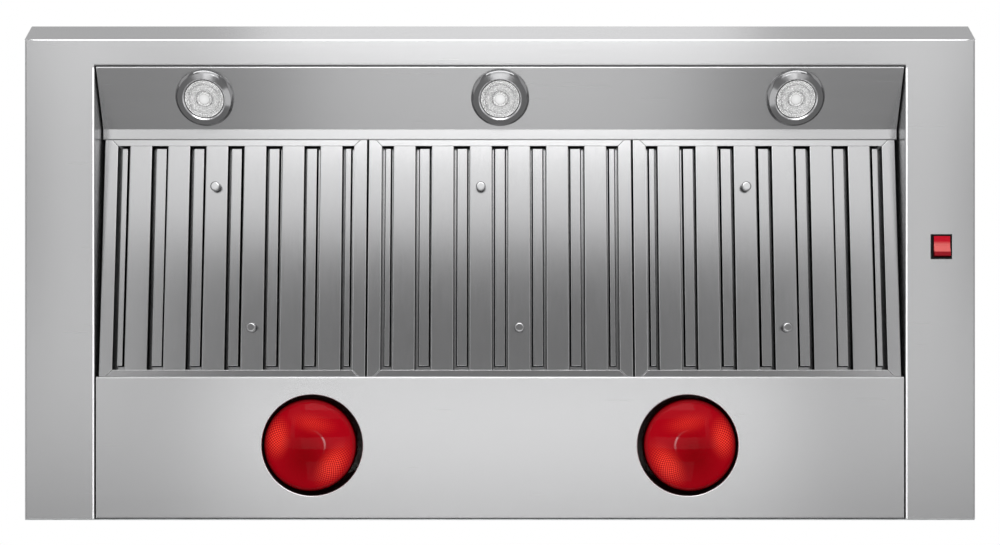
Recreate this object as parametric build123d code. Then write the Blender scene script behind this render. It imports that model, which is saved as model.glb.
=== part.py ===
"""Wall mount range hood: folded canopy, baffle filters, lights, heat lamps, blower and damper.

Units are millimetres. X runs to the user's right, Y towards the wall, Z up.
The origin lies on the wall plane, at the middle of the canopy's bottom edge.
"""

from build123d import *
import math
import os

os.makedirs("parts", exist_ok=True)

# Canopy outline
CANOPY_WIDTH = 1217.6
BOTTOM_DEPTH = 615.0
CHAMFER_DEPTH = 22.0
CHAMFER_HEIGHT = 29.0
BAND_TOP = 95.0
CANOPY_HEIGHT = 457.0
TOP_DEPTH = 330.0

# Canopy sheet metal
SHEET = 1.2
BEND = 2.4
SEAM = 0.2
CUT_PAST = 5.0
FRONT_FRAME = 33.1
SIDE_FRAME = 89.6
FRONT_RETURN = 14.0
CAVITY_WALL = 60.0
TOP_LIP = 14.0

# Sloped light panel, whose rear ledge carries the filters' front rails
PANEL_FRONT_GAP = 1.3
PANEL_SIDE_GAP = 2.0
LIGHT_PANEL_LIP = 20.0
LIGHT_PANEL_BEND = 1.25
LIGHT_PANEL_FLAT = 1.6
LIGHT_PANEL_RUN = 75.6
LIGHT_PANEL_RISE = 34.5
FRONT_LEDGE = 12.0
HEM_DEPTH = 6.0

# Heat lamp panel, whose front lip carries the filters' rear rails
LAMP_PANEL_DEPTH = 183.7
REAR_LEDGE_HEIGHT = 5.0
LAMP_PANEL_FLANGE = 18.0
LAMP_SPACING = 481.2
LAMP_FROM_WALL = 95.7
LAMP_HOLE_RADIUS = 65.0
LAMP_HOLE_ROUNDING = 0.8

# Heat lamps
BULB_OUTWARD = 4.5
BULB_REARWARD = 1.5
BULB_RECESS = 1.0
BULB_FACE_RISE = 9.0
BULB_FACE_RADIUS = 53.0
BULB_RADIUS = 60.5
BULB_SHOULDER = 22.0
BULB_WIDEST = 28.0
BULB_CONE_TOP = 118.0
BULB_BELLY = 7.0
BULB_NECK_RADIUS = 19.0
BULB_NECK_TOP = 138.0
CAP_RADIUS = 13.2
CAP_LENGTH = 22.0
CAP_SHOULDER = 2.0
CAP_TIP_RADIUS = 4.5
CAP_TIP_TAPER = 1.0
CAP_TIP_LENGTH = 2.5
CAP_THREAD_PITCH = 3.6
CAP_THREAD_DEPTH = 0.8
WELL_WALL = 0.8
WELL_RADIUS = 66.4
WELL_TOP = 172.0
WELL_FLANGE = 9.0
SOCKET_WALL = 5.0
SOCKET_SHOULDER = 4.0
SOCKET_NECK = 14.0
SOCKET_DEPTH = 32.5
SOCKET_CLEARANCE = 0.6

# Three lights on the sloped panel
LIGHT_SPACING = 381.0
LIGHT_FROM_FRONT = 36.0
BEZEL_RADIUS = 37.4
BEZEL_RIM_PROUD = 3.6
BEZEL_RIM_ROUNDING = 3.0
BEZEL_FACE_SAG = 0.4
BEZEL_LIP_RADIUS = 27.6
BEZEL_LIP_PROUD = 8.6
BEZEL_LIP_CHAMFER = 1.6
BEZEL_LIP_THICKNESS = 3.4
BEZEL_SPIGOT = 9.0
BEZEL_WALL = 1.6
LIGHT_HOLE_RADIUS = 32.4
LENS_VISIBLE_RADIUS = 25.0
LENS_EDGE = 0.6
LENS_RECESS = 1.5
LENS_FLANGE_RADIUS = 28.0
LENS_FLANGE_THICKNESS = 3.0
LENS_PLAIN_RADIUS = 7.2
LENS_RINGS = 7
LENS_RING_DEPTH = 0.5
LENS_RING_CREST = 0.25
LIGHT_HOUSING_HEIGHT = 37.0
LIGHT_FINS = 4
LIGHT_FIN_GROOVE = 3.0
LIGHT_FIN_DEPTH = 3.0
REFLECTOR_DEPTH = 22.0
REFLECTOR_FLOOR = 8.5
REFLECTOR_BULGE = 2.5
REFLECTOR_WALL = 2.0
EMITTER_RADIUS = 6.5
EMITTER_THICKNESS = 1.5

# Baffle filters
FILTER_COUNT = 3
FILTER_GAP = 2.3
FILTER_SIDE_GAP = 3.9
FILTER_OVERLAP = 7.5
FILTER_HEIGHT = 16.0
FILTER_SHEET = 0.8
FILTER_RAIL = 16.8
FILTER_TOP_RAIL = 11.0
FILTER_EDGE_ROUNDING = 0.7
FILTER_SEAT = 0.3
MITRE_SLIT = 0.5
STRIP_WIDTH = 29.8
STRIP_PITCH = 49.75
STRIP_FLANGE = 8.0
STRIP_BEND = 1.6
END_SLOT_LEAST = 12.0
BRIM_WIDTH = 31.0
BRIM_LIP = 5.0
TROUGH_PITCH = 49.2
TROUGH_WEB = 12.6
TROUGH_DEPTH = 9.4
TROUGH_TAPER = 9.0
TROUGH_FRONT_GAP = 3.0
TROUGH_REAR_GAP = 5.4
END_TROUGH_GAP = 4.2
END_TROUGH_SHIFT = 0.7
BAFFLE_FIT = 0.15
KNOB_OFFSET = 91.5
KNOB_RADIUS = 6.2
KNOB_NECK_RADIUS = 4.0
KNOB_HEIGHT = 11.0
KNOB_HEAD = 6.0
KNOB_ROUNDING = 2.0

# Heat lamp rocker switch in the right frame
SWITCH_FROM_SIDE = 43.8
SWITCH_FROM_WALL = 350.0
SWITCH_BEZEL = (26.6, 31.8)
SWITCH_BEZEL_HEIGHT = 2.6
SWITCH_BEZEL_CHAMFER = 1.0
SWITCH_BODY = (23.4, 28.8)
SWITCH_BODY_HEIGHT = 24.0
SWITCH_HOLE_CLEARANCE = 0.3
ROCKER_SIZE = (20.6, 25.2)
ROCKER_CLEARANCE = 0.4
ROCKER_TILT = 8.0
ROCKER_PROUD = 5.4
ROCKER_DIP = 2.0
ROCKER_PIVOT_HEIGHT = 1.5
ROCKER_DEPTH = 4.0
ROCKER_EDGE = 2.0
PIVOT_RADIUS = 1.25
PIVOT_CLEARANCE = 0.05

# Push buttons on the front band
BUTTON_NAMES = ("off_button", "low_button", "medium_button", "high_button", "light_button")
BUTTON_PITCH = 32.0
BUTTON_RADIUS = 8.0
BUTTON_GUIDE_CLEARANCE = 0.3
BUTTON_COLLAR = 1.6
BUTTON_COLLAR_LENGTH = 1.5
BUTTON_PROUD = 1.8
BUTTON_STEM_LENGTH = 3.0
BUTTON_STEM_RADIUS = 2.7
BUTTON_ROUNDING = 0.8
BUTTON_TRAVEL = 1.5
BUTTON_STOP_GAP = 0.3
BUTTON_BAND_HEIGHT = 62.0
CONTROL_BEZEL = (168.0, 30.0)
CONTROL_BEZEL_THICKNESS = 2.0
CONTROL_BEZEL_ROUNDING = 4.0
CONTROL_BEZEL_CHAMFER = 0.7
CONTROL_MARGIN = 4.0
BOARD = (160.0, 36.0)
BOARD_THICKNESS = 1.6
BOARD_POST_RADIUS = 3.0
TACT_RADIUS = 1.8
TACT_LENGTH = 4.0
TACT_BASE = 7.0
TACT_CAP = 1.0

# Blower
BLOWER_AXIS_HEIGHT = 250.0
BLOWER_HALF_WIDTH = 105.0
BLOWER_SHEET = 1.0
QUARTER_TURN = 90
SCROLL_ARC_STARTS = (90, 180, 270)
SCROLL_START_RADIUS = 94.0
SCROLL_END_RADIUS = 150.0
OUTLET_DEPTH = 140.0
OUTLET_FLANGE = 14.0
INLET_RADIUS = 74.0
INLET_LIP = 5.0
WHEEL_RADIUS = 82.0
WHEEL_EYE_RADIUS = 67.0
WHEEL_HALF_WIDTH = 88.0
WHEEL_PLATE = 2.0
WHEEL_RING = 2.0
BLADE_COUNT = 30
BLADE_THICKNESS = 1.0
BLADE_SWEEP = 9.0
BLADE_INSET = 0.8
BLADE_CURVE = 0.25
HUB_RADIUS = 14.0
HUB_LENGTH = 22.0
SHAFT_RADIUS = 5.0
SHAFT_CLEARANCE = 0.05
SHAFT_END = 6.0
SHAFT_DEPTH = 60.0
MOTOR_RADIUS = 50.0
MOTOR_FRONT_GAP = 16.0
MOTOR_BOSS = 6.0
MOTOR_BOSS_RADIUS = 16.7
MOTOR_ROUNDING = 6.0
MOTOR_PLATE_INSET = 8.0
SPIDER_THICKNESS = 2.0
SPIDER_ARMS = 3
SPIDER_ARM_WIDTH = 16.0
CAPACITOR_RADIUS = 17.5
CAPACITOR_LENGTH = 70.0
CAPACITOR_CUP = 14.0
CAPACITOR_CUP_WALL = 1.2
CAPACITOR_INSET = 10.0
CAPACITOR_ROUNDING = 3.0

# Duct collar and backdraft damper
COLLAR_RADIUS = 126.5
COLLAR_SHEET = 0.8
COLLAR_HEIGHT = 58.0
COLLAR_FLANGE = 20.0
COLLAR_BEAD = 1.0
COLLAR_BEAD_DROP = 11.6
STOP_LEDGE = 4.0
STOP_HEIGHT = 14.0
FLAP_THICKNESS = 0.8
FLAP_CLEARANCE = 2.4
FLAP_EDGE_GAP = 3.6
FLAP_SEAT = 0.3
PIN_RADIUS = 1.5
KNUCKLE_CLEARANCE = 0.08
KNUCKLE_WALL = 1.0
KNUCKLE_LENGTH = 18.0
KNUCKLE_SPACING = 130.0
KNUCKLE_ROOT = 1.0

# Electrical boxes
BOX_SIZE = (110.0, 90.0, 52.0)
BOX_CENTRE_X = 300.0
BOX_SHEET = 1.2
BOX_COVER_LIP = 8.0
CONDUIT_RADIUS = 11.1
DRIVER_SIZE = (150.0, 30.0, 46.0)
DRIVER_X = -360.0
DRIVER_HEIGHT = 330.0
DRIVER_FOOT = 14.0
DRIVER_CHAMFER = 3.0

# Wall fixing and screws
WALL_HOLE_SPACING_X = 812.8
WALL_HOLE_SPACING_Z = 330.0
WALL_HOLE_HEIGHT = 95.0
WALL_HOLE_RADIUS = 4.0
SCREW_RADIUS = 1.9
SCREW_CLEARANCE = 0.3
SCREW_HEAD_RADIUS = 4.0
SCREW_HEAD_HEIGHT = 2.4
SCREW_LENGTH = 7.0
TOP_SCREWS_PER_SIDE = 3
TOP_SCREWS_FRONT = 5
COLLAR_SCREWS = 6
SEAT = 0.1

# Places that follow from the sizes above
HALF_WIDTH = CANOPY_WIDTH / 2
OPENING_HALF = HALF_WIDTH - SIDE_FRAME
PANEL_HALF = OPENING_HALF - PANEL_SIDE_GAP
OPENING_FRONT = -(BOTTOM_DEPTH - FRONT_FRAME)
FRONT_Y = -(BOTTOM_DEPTH + CHAMFER_DEPTH)
TOP_UNDERSIDE = CANOPY_HEIGHT - SHEET
BACK_FACE = -SHEET
SLOPE_START_Y = OPENING_FRONT + PANEL_FRONT_GAP + LIGHT_PANEL_FLAT
CREST_Y = SLOPE_START_Y + LIGHT_PANEL_RUN
LEDGE_EDGE_Y = CREST_Y + FRONT_LEDGE
LEDGE_TOP = LIGHT_PANEL_RISE + 2 * SHEET
LAMP_PANEL_FRONT_Y = -LAMP_PANEL_DEPTH
REAR_CONTACT_Y = LAMP_PANEL_FRONT_Y + SHEET
SWITCH_X = HALF_WIDTH - SWITCH_FROM_SIDE
LAMP_X = LAMP_SPACING / 2
DUCT_Y = -TOP_DEPTH / 2
BLOWER_Y = DUCT_Y + OUTLET_DEPTH / 2 - SCROLL_END_RADIUS
FILTER_WIDTH = (2 * (OPENING_HALF - FILTER_SIDE_GAP) - (FILTER_COUNT - 1) * FILTER_GAP) / FILTER_COUNT
FILTER_CLEAR = FILTER_WIDTH - 2 * FILTER_RAIL
STRIP_COUNT = int((FILTER_CLEAR - 2 * END_SLOT_LEAST + STRIP_PITCH - STRIP_WIDTH) / STRIP_PITCH)
FILTER_DROP = LEDGE_TOP - REAR_LEDGE_HEIGHT
FILTER_SPAN = REAR_CONTACT_Y - LEDGE_EDGE_Y
FILTER_ANGLE = math.degrees(math.atan2(FILTER_DROP, FILTER_SPAN))
FILTER_LENGTH = math.hypot(FILTER_DROP, FILTER_SPAN) + 2 * FILTER_OVERLAP
LIGHT_ANGLE = math.degrees(math.atan2(LIGHT_PANEL_RISE, LIGHT_PANEL_RUN))


def save(name, solids):
    """Write one node, which is one solid or a group of like solids."""
    if isinstance(solids, (list, tuple)):
        solids = Compound(children=[part_solid for item in solids for part_solid in item.solids()])
    export_step(solids, f"parts/{name}.step")


def folded_face(points, side, bend=BEND, thickness=SHEET):
    """Section of a folded sheet: the given line is one face, the sheet lies to its side."""
    line = FilletPolyline(*points, radius=bend)
    return Face(line.wire().offset_2d(thickness, kind=Kind.ARC, side=side, closed=True))


def along_x(face, start, end):
    """Extrude a section drawn in (Y, Z) from one X to another."""
    return Pos(start, 0, 0) * extrude(Plane.YZ * face, amount=end - start, dir=(1, 0, 0))


def along_y(face, start, end):
    """Extrude a section drawn in (X, Z) from one Y to another."""
    plane = Plane((0, start, 0), x_dir=(1, 0, 0), z_dir=(0, -1, 0))
    return extrude(plane * face, amount=end - start, dir=(0, 1, 0))


def block(x, y, z):
    """Box between two limits on each axis."""
    corner = (min(x), min(y), min(z))
    return Pos(*corner) * Box(abs(x[1] - x[0]), abs(y[1] - y[0]), abs(z[1] - z[0]), align=(Align.MIN,) * 3)


def turned(points):
    """Solid of revolution about Z from an outline of (radius, height) points."""
    return revolve(Plane.XZ * Face(Polyline(*points, close=True).wire()), axis=Axis.Z)


def rod(radius, start, end):
    """Round bar between two points."""
    run = Vector(*end) - Vector(*start)
    plane = Plane(origin=start, z_dir=run)
    return extrude(plane * Circle(radius), amount=run.length)


def rim_edges(solid, radius):
    """Circular edges of one radius, from the lowest to the highest."""
    circles = solid.edges().filter_by(GeomType.CIRCLE)
    return circles.filter_by(lambda edge: abs(edge.radius - radius) < SEAM).sort_by(Axis.Z)


def light_places():
    """Planes of the three lights, with Z pointing into the hood."""
    tilt = math.radians(LIGHT_ANGLE)
    y = SLOPE_START_Y + LIGHT_FROM_FRONT
    z = LIGHT_FROM_FRONT * math.tan(tilt)
    normal = (0, -math.sin(tilt), math.cos(tilt))
    names = ("left", "centre", "right")
    return {
        name: Plane(origin=((index - 1) * LIGHT_SPACING, y, z), x_dir=(1, 0, 0), z_dir=normal)
        for index, name in enumerate(names)
    }


def lamp_places():
    """Centres of the two heat lamp holes."""
    return {"left": (-LAMP_X, -LAMP_FROM_WALL), "right": (LAMP_X, -LAMP_FROM_WALL)}


def bulb_places():
    """Centres of the two bulbs, which hang a little outside the middle of their holes."""
    x, y = LAMP_X + BULB_OUTWARD, -LAMP_FROM_WALL + BULB_REARWARD
    return {"left": (-x, y), "right": (x, y)}


def filter_places():
    """Planes of the filters: Y runs down the slope to the rear, Z stands on the underside."""
    slope = math.radians(FILTER_ANGLE)
    middle_y = (LEDGE_EDGE_Y + REAR_CONTACT_Y) / 2
    middle_z = (LEDGE_TOP + REAR_LEDGE_HEIGHT) / 2 + FILTER_SEAT / math.cos(slope)
    pitch = FILTER_WIDTH + FILTER_GAP
    names = ("left", "centre", "right")
    return {
        name: Plane(
            origin=((index - (FILTER_COUNT - 1) / 2) * pitch, middle_y, middle_z),
            x_dir=(1, 0, 0),
            z_dir=(0, math.sin(slope), math.cos(slope)),
        )
        for index, name in enumerate(names)
    }


def top_screw_places():
    """Screws through the top panel into the lips of the sides and the front."""
    lip_middle = SHEET + (TOP_LIP - SHEET) / 2
    side_x = HALF_WIDTH - lip_middle
    depth_step = TOP_DEPTH / (TOP_SCREWS_PER_SIDE + 1)
    places = [
        (sign * side_x, -depth_step * (index + 1))
        for sign in (-1, 1)
        for index in range(TOP_SCREWS_PER_SIDE)
    ]
    width_step = 2 * OPENING_HALF / (TOP_SCREWS_FRONT - 1)
    places += [
        (-OPENING_HALF + index * width_step, -TOP_DEPTH + lip_middle + SHEET)
        for index in range(TOP_SCREWS_FRONT)
    ]
    return places


def collar_screw_places():
    """Screws through the duct collar's flange into the top panel."""
    radius = COLLAR_RADIUS + COLLAR_FLANGE / 2
    step = 2 * math.pi / COLLAR_SCREWS
    return [
        (radius * math.cos(step * (i + 0.5)), DUCT_Y + radius * math.sin(step * (i + 0.5)))
        for i in range(COLLAR_SCREWS)
    ]


def screw_holes(places, z):
    """Clearance holes for the screws at these places."""
    radius = SCREW_RADIUS + SCREW_CLEARANCE
    return [Pos(x, y, z) * Cylinder(radius, 2 * CUT_PAST) for x, y in places]


def front_profile_points():
    """Outside line of the front sheet, from its return to its top lip, in (Y, Z)."""
    return [
        (OPENING_FRONT, 0),
        (-BOTTOM_DEPTH, 0),
        (FRONT_Y, CHAMFER_HEIGHT),
        (FRONT_Y, BAND_TOP),
        (-TOP_DEPTH, TOP_UNDERSIDE),
        (-TOP_DEPTH + TOP_LIP, TOP_UNDERSIDE),
    ]


def mitre_corner(sign, gap):
    """Plan area that belongs to a side frame, behind the mitre line."""
    far = HALF_WIDTH + FRONT_FRAME
    slope = (BOTTOM_DEPTH + OPENING_FRONT) / SIDE_FRAME
    far_y = OPENING_FRONT - slope * (far - OPENING_HALF)
    points = [
        (sign * OPENING_HALF, OPENING_FRONT + gap),
        (sign * far, far_y + gap),
        (sign * far, OPENING_FRONT + FRONT_FRAME),
        (sign * OPENING_HALF, OPENING_FRONT + FRONT_FRAME),
    ]
    return Face(Polyline(*points, close=True).wire())


def make_front_panel():
    """Front sheet: return, lower frame, chamfer, band, slope and top lip in one fold."""
    points = [(OPENING_FRONT, FRONT_RETURN)] + front_profile_points()
    panel = along_x(folded_face(points, Side.RIGHT), -HALF_WIDTH, HALF_WIDTH)
    for sign in (-1, 1):
        corner = extrude(mitre_corner(sign, 0), amount=FRONT_RETURN + 3 * SHEET, dir=(0, 0, 1))
        panel -= Pos(0, 0, -SHEET) * corner
    window = [size - 2 * CONTROL_MARGIN for size in CONTROL_BEZEL]
    panel -= block(
        (-window[0] / 2, window[0] / 2),
        (FRONT_Y - SHEET, FRONT_Y + 3 * SHEET),
        (BUTTON_BAND_HEIGHT - window[1] / 2, BUTTON_BAND_HEIGHT + window[1] / 2),
    )
    holes = [(x, y) for x, y in top_screw_places() if abs(x) <= OPENING_HALF]
    return panel - screw_holes(holes, TOP_UNDERSIDE)


def make_side_panel(sign):
    """Side sheet: wall, lower frame, cavity wall and top lip, mitred to the front frame."""
    section = [
        (OPENING_HALF, CAVITY_WALL),
        (OPENING_HALF, 0),
        (HALF_WIDTH, 0),
        (HALF_WIDTH, TOP_UNDERSIDE),
        (HALF_WIDTH - TOP_LIP, TOP_UNDERSIDE),
    ]
    sheet = along_y(folded_face(section, Side.LEFT), FRONT_Y, 0)
    behind_wall = 2 * BEND
    outline_points = [(behind_wall, 0)] + front_profile_points()[1:5] + [(behind_wall, TOP_UNDERSIDE)]
    outline = Face(FilletPolyline(*outline_points, radius=BEND, close=True).wire())
    outline -= folded_face(front_profile_points(), Side.RIGHT, thickness=SHEET + SEAM)
    wall = sheet & along_x(outline, 0, HALF_WIDTH)
    wall -= block((0, HALF_WIDTH - SHEET), (FRONT_Y, OPENING_FRONT), (0, CAVITY_WALL + SHEET))
    corner = extrude(mitre_corner(1, SEAM), amount=SHEET + SEAM, dir=(0, 0, 1))
    panel = wall + (sheet & corner)
    panel -= block((0, HALF_WIDTH - SHEET), (-SHEET - SEAM, 0), (0, CANOPY_HEIGHT))
    if sign < 0:
        panel = mirror(panel, Plane.YZ)
    holes = [(x, y) for x, y in top_screw_places() if x * sign > OPENING_HALF]
    return panel - screw_holes(holes, TOP_UNDERSIDE)


def make_right_side_panel():
    """Right side sheet with the cut-out for the rocker switch."""
    half_x = SWITCH_BODY[0] / 2 + SWITCH_HOLE_CLEARANCE
    half_y = SWITCH_BODY[1] / 2 + SWITCH_HOLE_CLEARANCE
    cut = Pos(SWITCH_X, -SWITCH_FROM_WALL, 0) * Box(2 * half_x, 2 * half_y, 2 * CUT_PAST)
    return make_side_panel(1) - cut


def make_top_panel():
    """Flat top sheet with the duct hole and its screw holes."""
    panel = block((-HALF_WIDTH, HALF_WIDTH), (-TOP_DEPTH, 0), (TOP_UNDERSIDE, CANOPY_HEIGHT))
    panel -= Pos(0, DUCT_Y, CANOPY_HEIGHT) * Cylinder(COLLAR_RADIUS - COLLAR_SHEET, 2 * CUT_PAST)
    return panel - screw_holes(top_screw_places() + collar_screw_places(), CANOPY_HEIGHT)


def wall_hole_places():
    """Centres of the four wall screws, as (X, Z)."""
    return [
        (sign * WALL_HOLE_SPACING_X / 2, WALL_HOLE_HEIGHT + row * WALL_HOLE_SPACING_Z)
        for sign in (-1, 1)
        for row in (0, 1)
    ]


def make_back_panel():
    """Flat back sheet that lies on the wall, with four screw holes and the conduit hole."""
    half = HALF_WIDTH - SHEET - SEAM
    panel = block((-half, half), (BACK_FACE, 0), (0, TOP_UNDERSIDE - SEAM))
    for x, z in wall_hole_places():
        panel -= rod(WALL_HOLE_RADIUS, (x, BACK_FACE - SHEET, z), (x, SHEET, z))
    return panel - conduit_hole()


def make_light_panel():
    """Sloped sheet with three light holes and a hemmed ledge at its rear."""
    front = OPENING_FRONT + PANEL_FRONT_GAP
    points = [
        (front, LIGHT_PANEL_LIP),
        (front, 0),
        (SLOPE_START_Y, 0),
        (CREST_Y, LIGHT_PANEL_RISE),
        (LEDGE_EDGE_Y, LIGHT_PANEL_RISE),
    ]
    panel = along_x(folded_face(points, Side.LEFT, bend=LIGHT_PANEL_BEND), -PANEL_HALF, PANEL_HALF)
    hem_centre = LIGHT_PANEL_RISE + SHEET
    hem_depth = (LEDGE_EDGE_Y - HEM_DEPTH, LEDGE_EDGE_Y)
    hem = block((-PANEL_HALF, PANEL_HALF), hem_depth, (hem_centre, LEDGE_TOP))
    hem += rod(SHEET, (-PANEL_HALF, LEDGE_EDGE_Y, hem_centre), (PANEL_HALF, LEDGE_EDGE_Y, hem_centre))
    panel += hem
    for place in light_places().values():
        panel -= place * Cylinder(LIGHT_HOLE_RADIUS, 2 * CUT_PAST)
    return panel


def make_heat_lamp_panel():
    """Flat rear sheet with two round lamp holes, a front lip and a rear flange."""
    points = [
        (LAMP_PANEL_FRONT_Y, REAR_LEDGE_HEIGHT),
        (LAMP_PANEL_FRONT_Y, 0),
        (BACK_FACE - SEAM, 0),
        (BACK_FACE - SEAM, LAMP_PANEL_FLANGE),
    ]
    panel = along_x(folded_face(points, Side.LEFT), -PANEL_HALF, PANEL_HALF)
    for x, y in lamp_places().values():
        panel -= Pos(x, y, 0) * Cylinder(LAMP_HOLE_RADIUS, 2 * CUT_PAST)
    rims = [edge for edge in rim_edges(panel, LAMP_HOLE_RADIUS) if abs(edge.center().Z) < SEAM]
    return fillet(rims, LAMP_HOLE_ROUNDING)


def lens_seat():
    """Height of the lens flange's front above the outside of the light panel."""
    return SEAT + BEZEL_LIP_THICKNESS - BEZEL_LIP_PROUD


def housing_mouth():
    """Height of the light housing's front, which holds the lens flange in the bezel."""
    return lens_seat() + LENS_FLANGE_THICKNESS + SEAT


def reflector_floor():
    """Height of the reflector bowl's floor above the outside of the light panel."""
    return housing_mouth() + REFLECTOR_DEPTH


def make_led_bezel():
    """Turned ring that rises from a rounded rim to the lens lip, with a spigot through the panel."""
    spigot = LIGHT_HOLE_RADIUS - SEAM - SEAT
    rounding = BEZEL_RIM_ROUNDING
    flank = (BEZEL_RADIUS, rounding - BEZEL_RIM_PROUD)
    crest = (BEZEL_RADIUS - rounding, -BEZEL_RIM_PROUD)
    diagonal = rounding * (1 - math.sqrt(0.5))
    rim_middle = (BEZEL_RADIUS - diagonal, diagonal - BEZEL_RIM_PROUD)
    lip = (BEZEL_LIP_RADIUS, -BEZEL_LIP_PROUD)
    face_middle = ((crest[0] + lip[0]) / 2, (crest[1] + lip[1]) / 2 + BEZEL_FACE_SAG)
    rim = ThreePointArc(flank, rim_middle, crest)
    face = ThreePointArc(crest, face_middle, lip)
    hole = BEZEL_LIP_RADIUS - BEZEL_LIP_CHAMFER
    shelf = lens_seat() - SEAT
    step = housing_mouth() - SEAT
    inside = Polyline(
        lip,
        (hole, BEZEL_LIP_CHAMFER - BEZEL_LIP_PROUD),
        (hole, shelf),
        (LENS_FLANGE_RADIUS + SEAM, shelf),
        (LENS_FLANGE_RADIUS + SEAM, step),
        (spigot - BEZEL_WALL, step),
        (spigot - BEZEL_WALL, BEZEL_SPIGOT),
        (spigot, BEZEL_SPIGOT),
        (spigot, -SEAT),
        (BEZEL_RADIUS, -SEAT),
        flank,
    )
    edges = [*rim.edges(), *face.edges(), *inside.edges()]
    return revolve(Plane.XZ * Face(Wire(edges)), axis=Axis.Z)


def make_led_lens():
    """Clear disc with a plain middle and pressed rings, held by its flange behind the bezel's lip."""
    front = LENS_RECESS - BEZEL_LIP_PROUD
    edge = LENS_VISIBLE_RADIUS - LENS_EDGE
    outline = [(0, front)]
    pitch = (edge - LENS_PLAIN_RADIUS) / LENS_RINGS
    for index in range(LENS_RINGS):
        inner = LENS_PLAIN_RADIUS + index * pitch
        outline += [(inner, front), (inner + pitch * LENS_RING_CREST, front + LENS_RING_DEPTH)]
    outline += [(edge, front), (LENS_VISIBLE_RADIUS, front + LENS_EDGE), (LENS_VISIBLE_RADIUS, lens_seat())]
    top = lens_seat() + LENS_FLANGE_THICKNESS
    outline += [(LENS_FLANGE_RADIUS, lens_seat()), (LENS_FLANGE_RADIUS, top), (0, top)]
    return turned(outline)


def make_led_housing():
    """Finned metal can with a reflector bowl behind the lens."""
    radius = LIGHT_HOLE_RADIUS - SEAM - SEAT - BEZEL_WALL - SEAM
    bottom = housing_mouth()
    top = bottom + LIGHT_HOUSING_HEIGHT
    first = BEZEL_SPIGOT + LIGHT_FIN_GROOVE
    pitch = (top - first) / LIGHT_FINS
    outline = [(0, bottom), (radius, bottom)]
    for index in range(LIGHT_FINS):
        z = first + index * pitch
        outline += [(radius, z), (radius - LIGHT_FIN_DEPTH, z)]
        outline += [(radius - LIGHT_FIN_DEPTH, z + LIGHT_FIN_GROOVE), (radius, z + LIGHT_FIN_GROOVE)]
    outline += [(radius, top), (0, top)]
    mouth = (radius - REFLECTOR_WALL, bottom)
    floor_edge = (REFLECTOR_FLOOR, reflector_floor())
    middle = (
        (mouth[0] + floor_edge[0]) / 2 + REFLECTOR_BULGE,
        (mouth[1] + floor_edge[1]) / 2 + REFLECTOR_BULGE,
    )
    wall = ThreePointArc(mouth, middle, floor_edge)
    rest = Polyline(floor_edge, (0, reflector_floor()), (0, bottom), mouth)
    bowl = revolve(Plane.XZ * Face(Wire([*wall.edges(), *rest.edges()])), axis=Axis.Z)
    return turned(outline) - bowl


def make_led_emitter():
    """Round light source on the floor of the reflector bowl."""
    top = reflector_floor() - SEAT
    disc = Pos(0, 0, top - EMITTER_THICKNESS / 2) * Cylinder(EMITTER_RADIUS, EMITTER_THICKNESS)
    return chamfer(disc.edges().sort_by(Axis.Z)[0], EMITTER_THICKNESS / 3)


def make_bulb():
    """Reflector heat lamp bulb, from its domed face to its neck."""
    apex = (0, BULB_RECESS)
    face_edge = (BULB_FACE_RADIUS, BULB_RECESS + BULB_FACE_RISE)
    face_middle = (BULB_FACE_RADIUS / 2, BULB_RECESS + BULB_FACE_RISE / 4)
    shoulder = (BULB_RADIUS, BULB_SHOULDER)
    widest = (BULB_RADIUS, BULB_WIDEST)
    cone_top = (BULB_NECK_RADIUS, BULB_CONE_TOP)
    cone_middle = ((BULB_RADIUS + BULB_NECK_RADIUS) / 2 + BULB_BELLY, (BULB_WIDEST + BULB_CONE_TOP) / 2)
    face = ThreePointArc(apex, face_middle, face_edge)
    corner = TangentArc(face_edge, shoulder, tangent=face % 1)
    band = Line(shoulder, widest)
    cone = ThreePointArc(widest, cone_middle, cone_top)
    rest = Polyline(cone_top, (BULB_NECK_RADIUS, BULB_NECK_TOP), (0, BULB_NECK_TOP), apex)
    edges = [*face.edges(), *corner.edges(), *band.edges(), *cone.edges(), *rest.edges()]
    return revolve(Plane.XZ * Face(Wire(edges)), axis=Axis.Z)


def make_cap():
    """Screw base on the bulb's neck, with rounded thread rings and a contact tip."""
    bottom = BULB_NECK_TOP + SEAT
    outline = [(0, bottom), (CAP_RADIUS, bottom)]
    turns = int(CAP_LENGTH / CAP_THREAD_PITCH) - 1
    for index in range(turns):
        z = bottom + CAP_THREAD_PITCH * (index + 0.5)
        outline += [(CAP_RADIUS, z), (CAP_RADIUS - CAP_THREAD_DEPTH, z + CAP_THREAD_PITCH / 2)]
    top = bottom + CAP_LENGTH
    outline += [(CAP_RADIUS, top - CAP_THREAD_PITCH), (CAP_RADIUS - CAP_SHOULDER, top)]
    tip = top + CAP_TIP_LENGTH
    outline += [(CAP_TIP_RADIUS, top), (CAP_TIP_RADIUS - CAP_TIP_TAPER, tip), (0, tip)]
    return turned(outline)


def make_socket():
    """Ceramic lampholder that hangs from the well's top."""
    inner = CAP_RADIUS + SOCKET_CLEARANCE
    outer = inner + SOCKET_WALL
    top = WELL_TOP - WELL_WALL - SEAT
    bottom = top - SOCKET_DEPTH
    ceiling = BULB_NECK_TOP + SEAT + CAP_LENGTH + CAP_TIP_LENGTH + SEAT
    outline = [
        (inner, bottom),
        (outer, bottom),
        (outer, top - SOCKET_SHOULDER),
        (outer + SOCKET_SHOULDER, top - SOCKET_SHOULDER),
        (outer + SOCKET_SHOULDER, top),
        (SOCKET_NECK - SEAM, top),
        (SOCKET_NECK - SEAM, top + SOCKET_NECK),
        (0, top + SOCKET_NECK),
        (0, ceiling),
        (inner, ceiling),
    ]
    return turned(outline)


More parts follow.
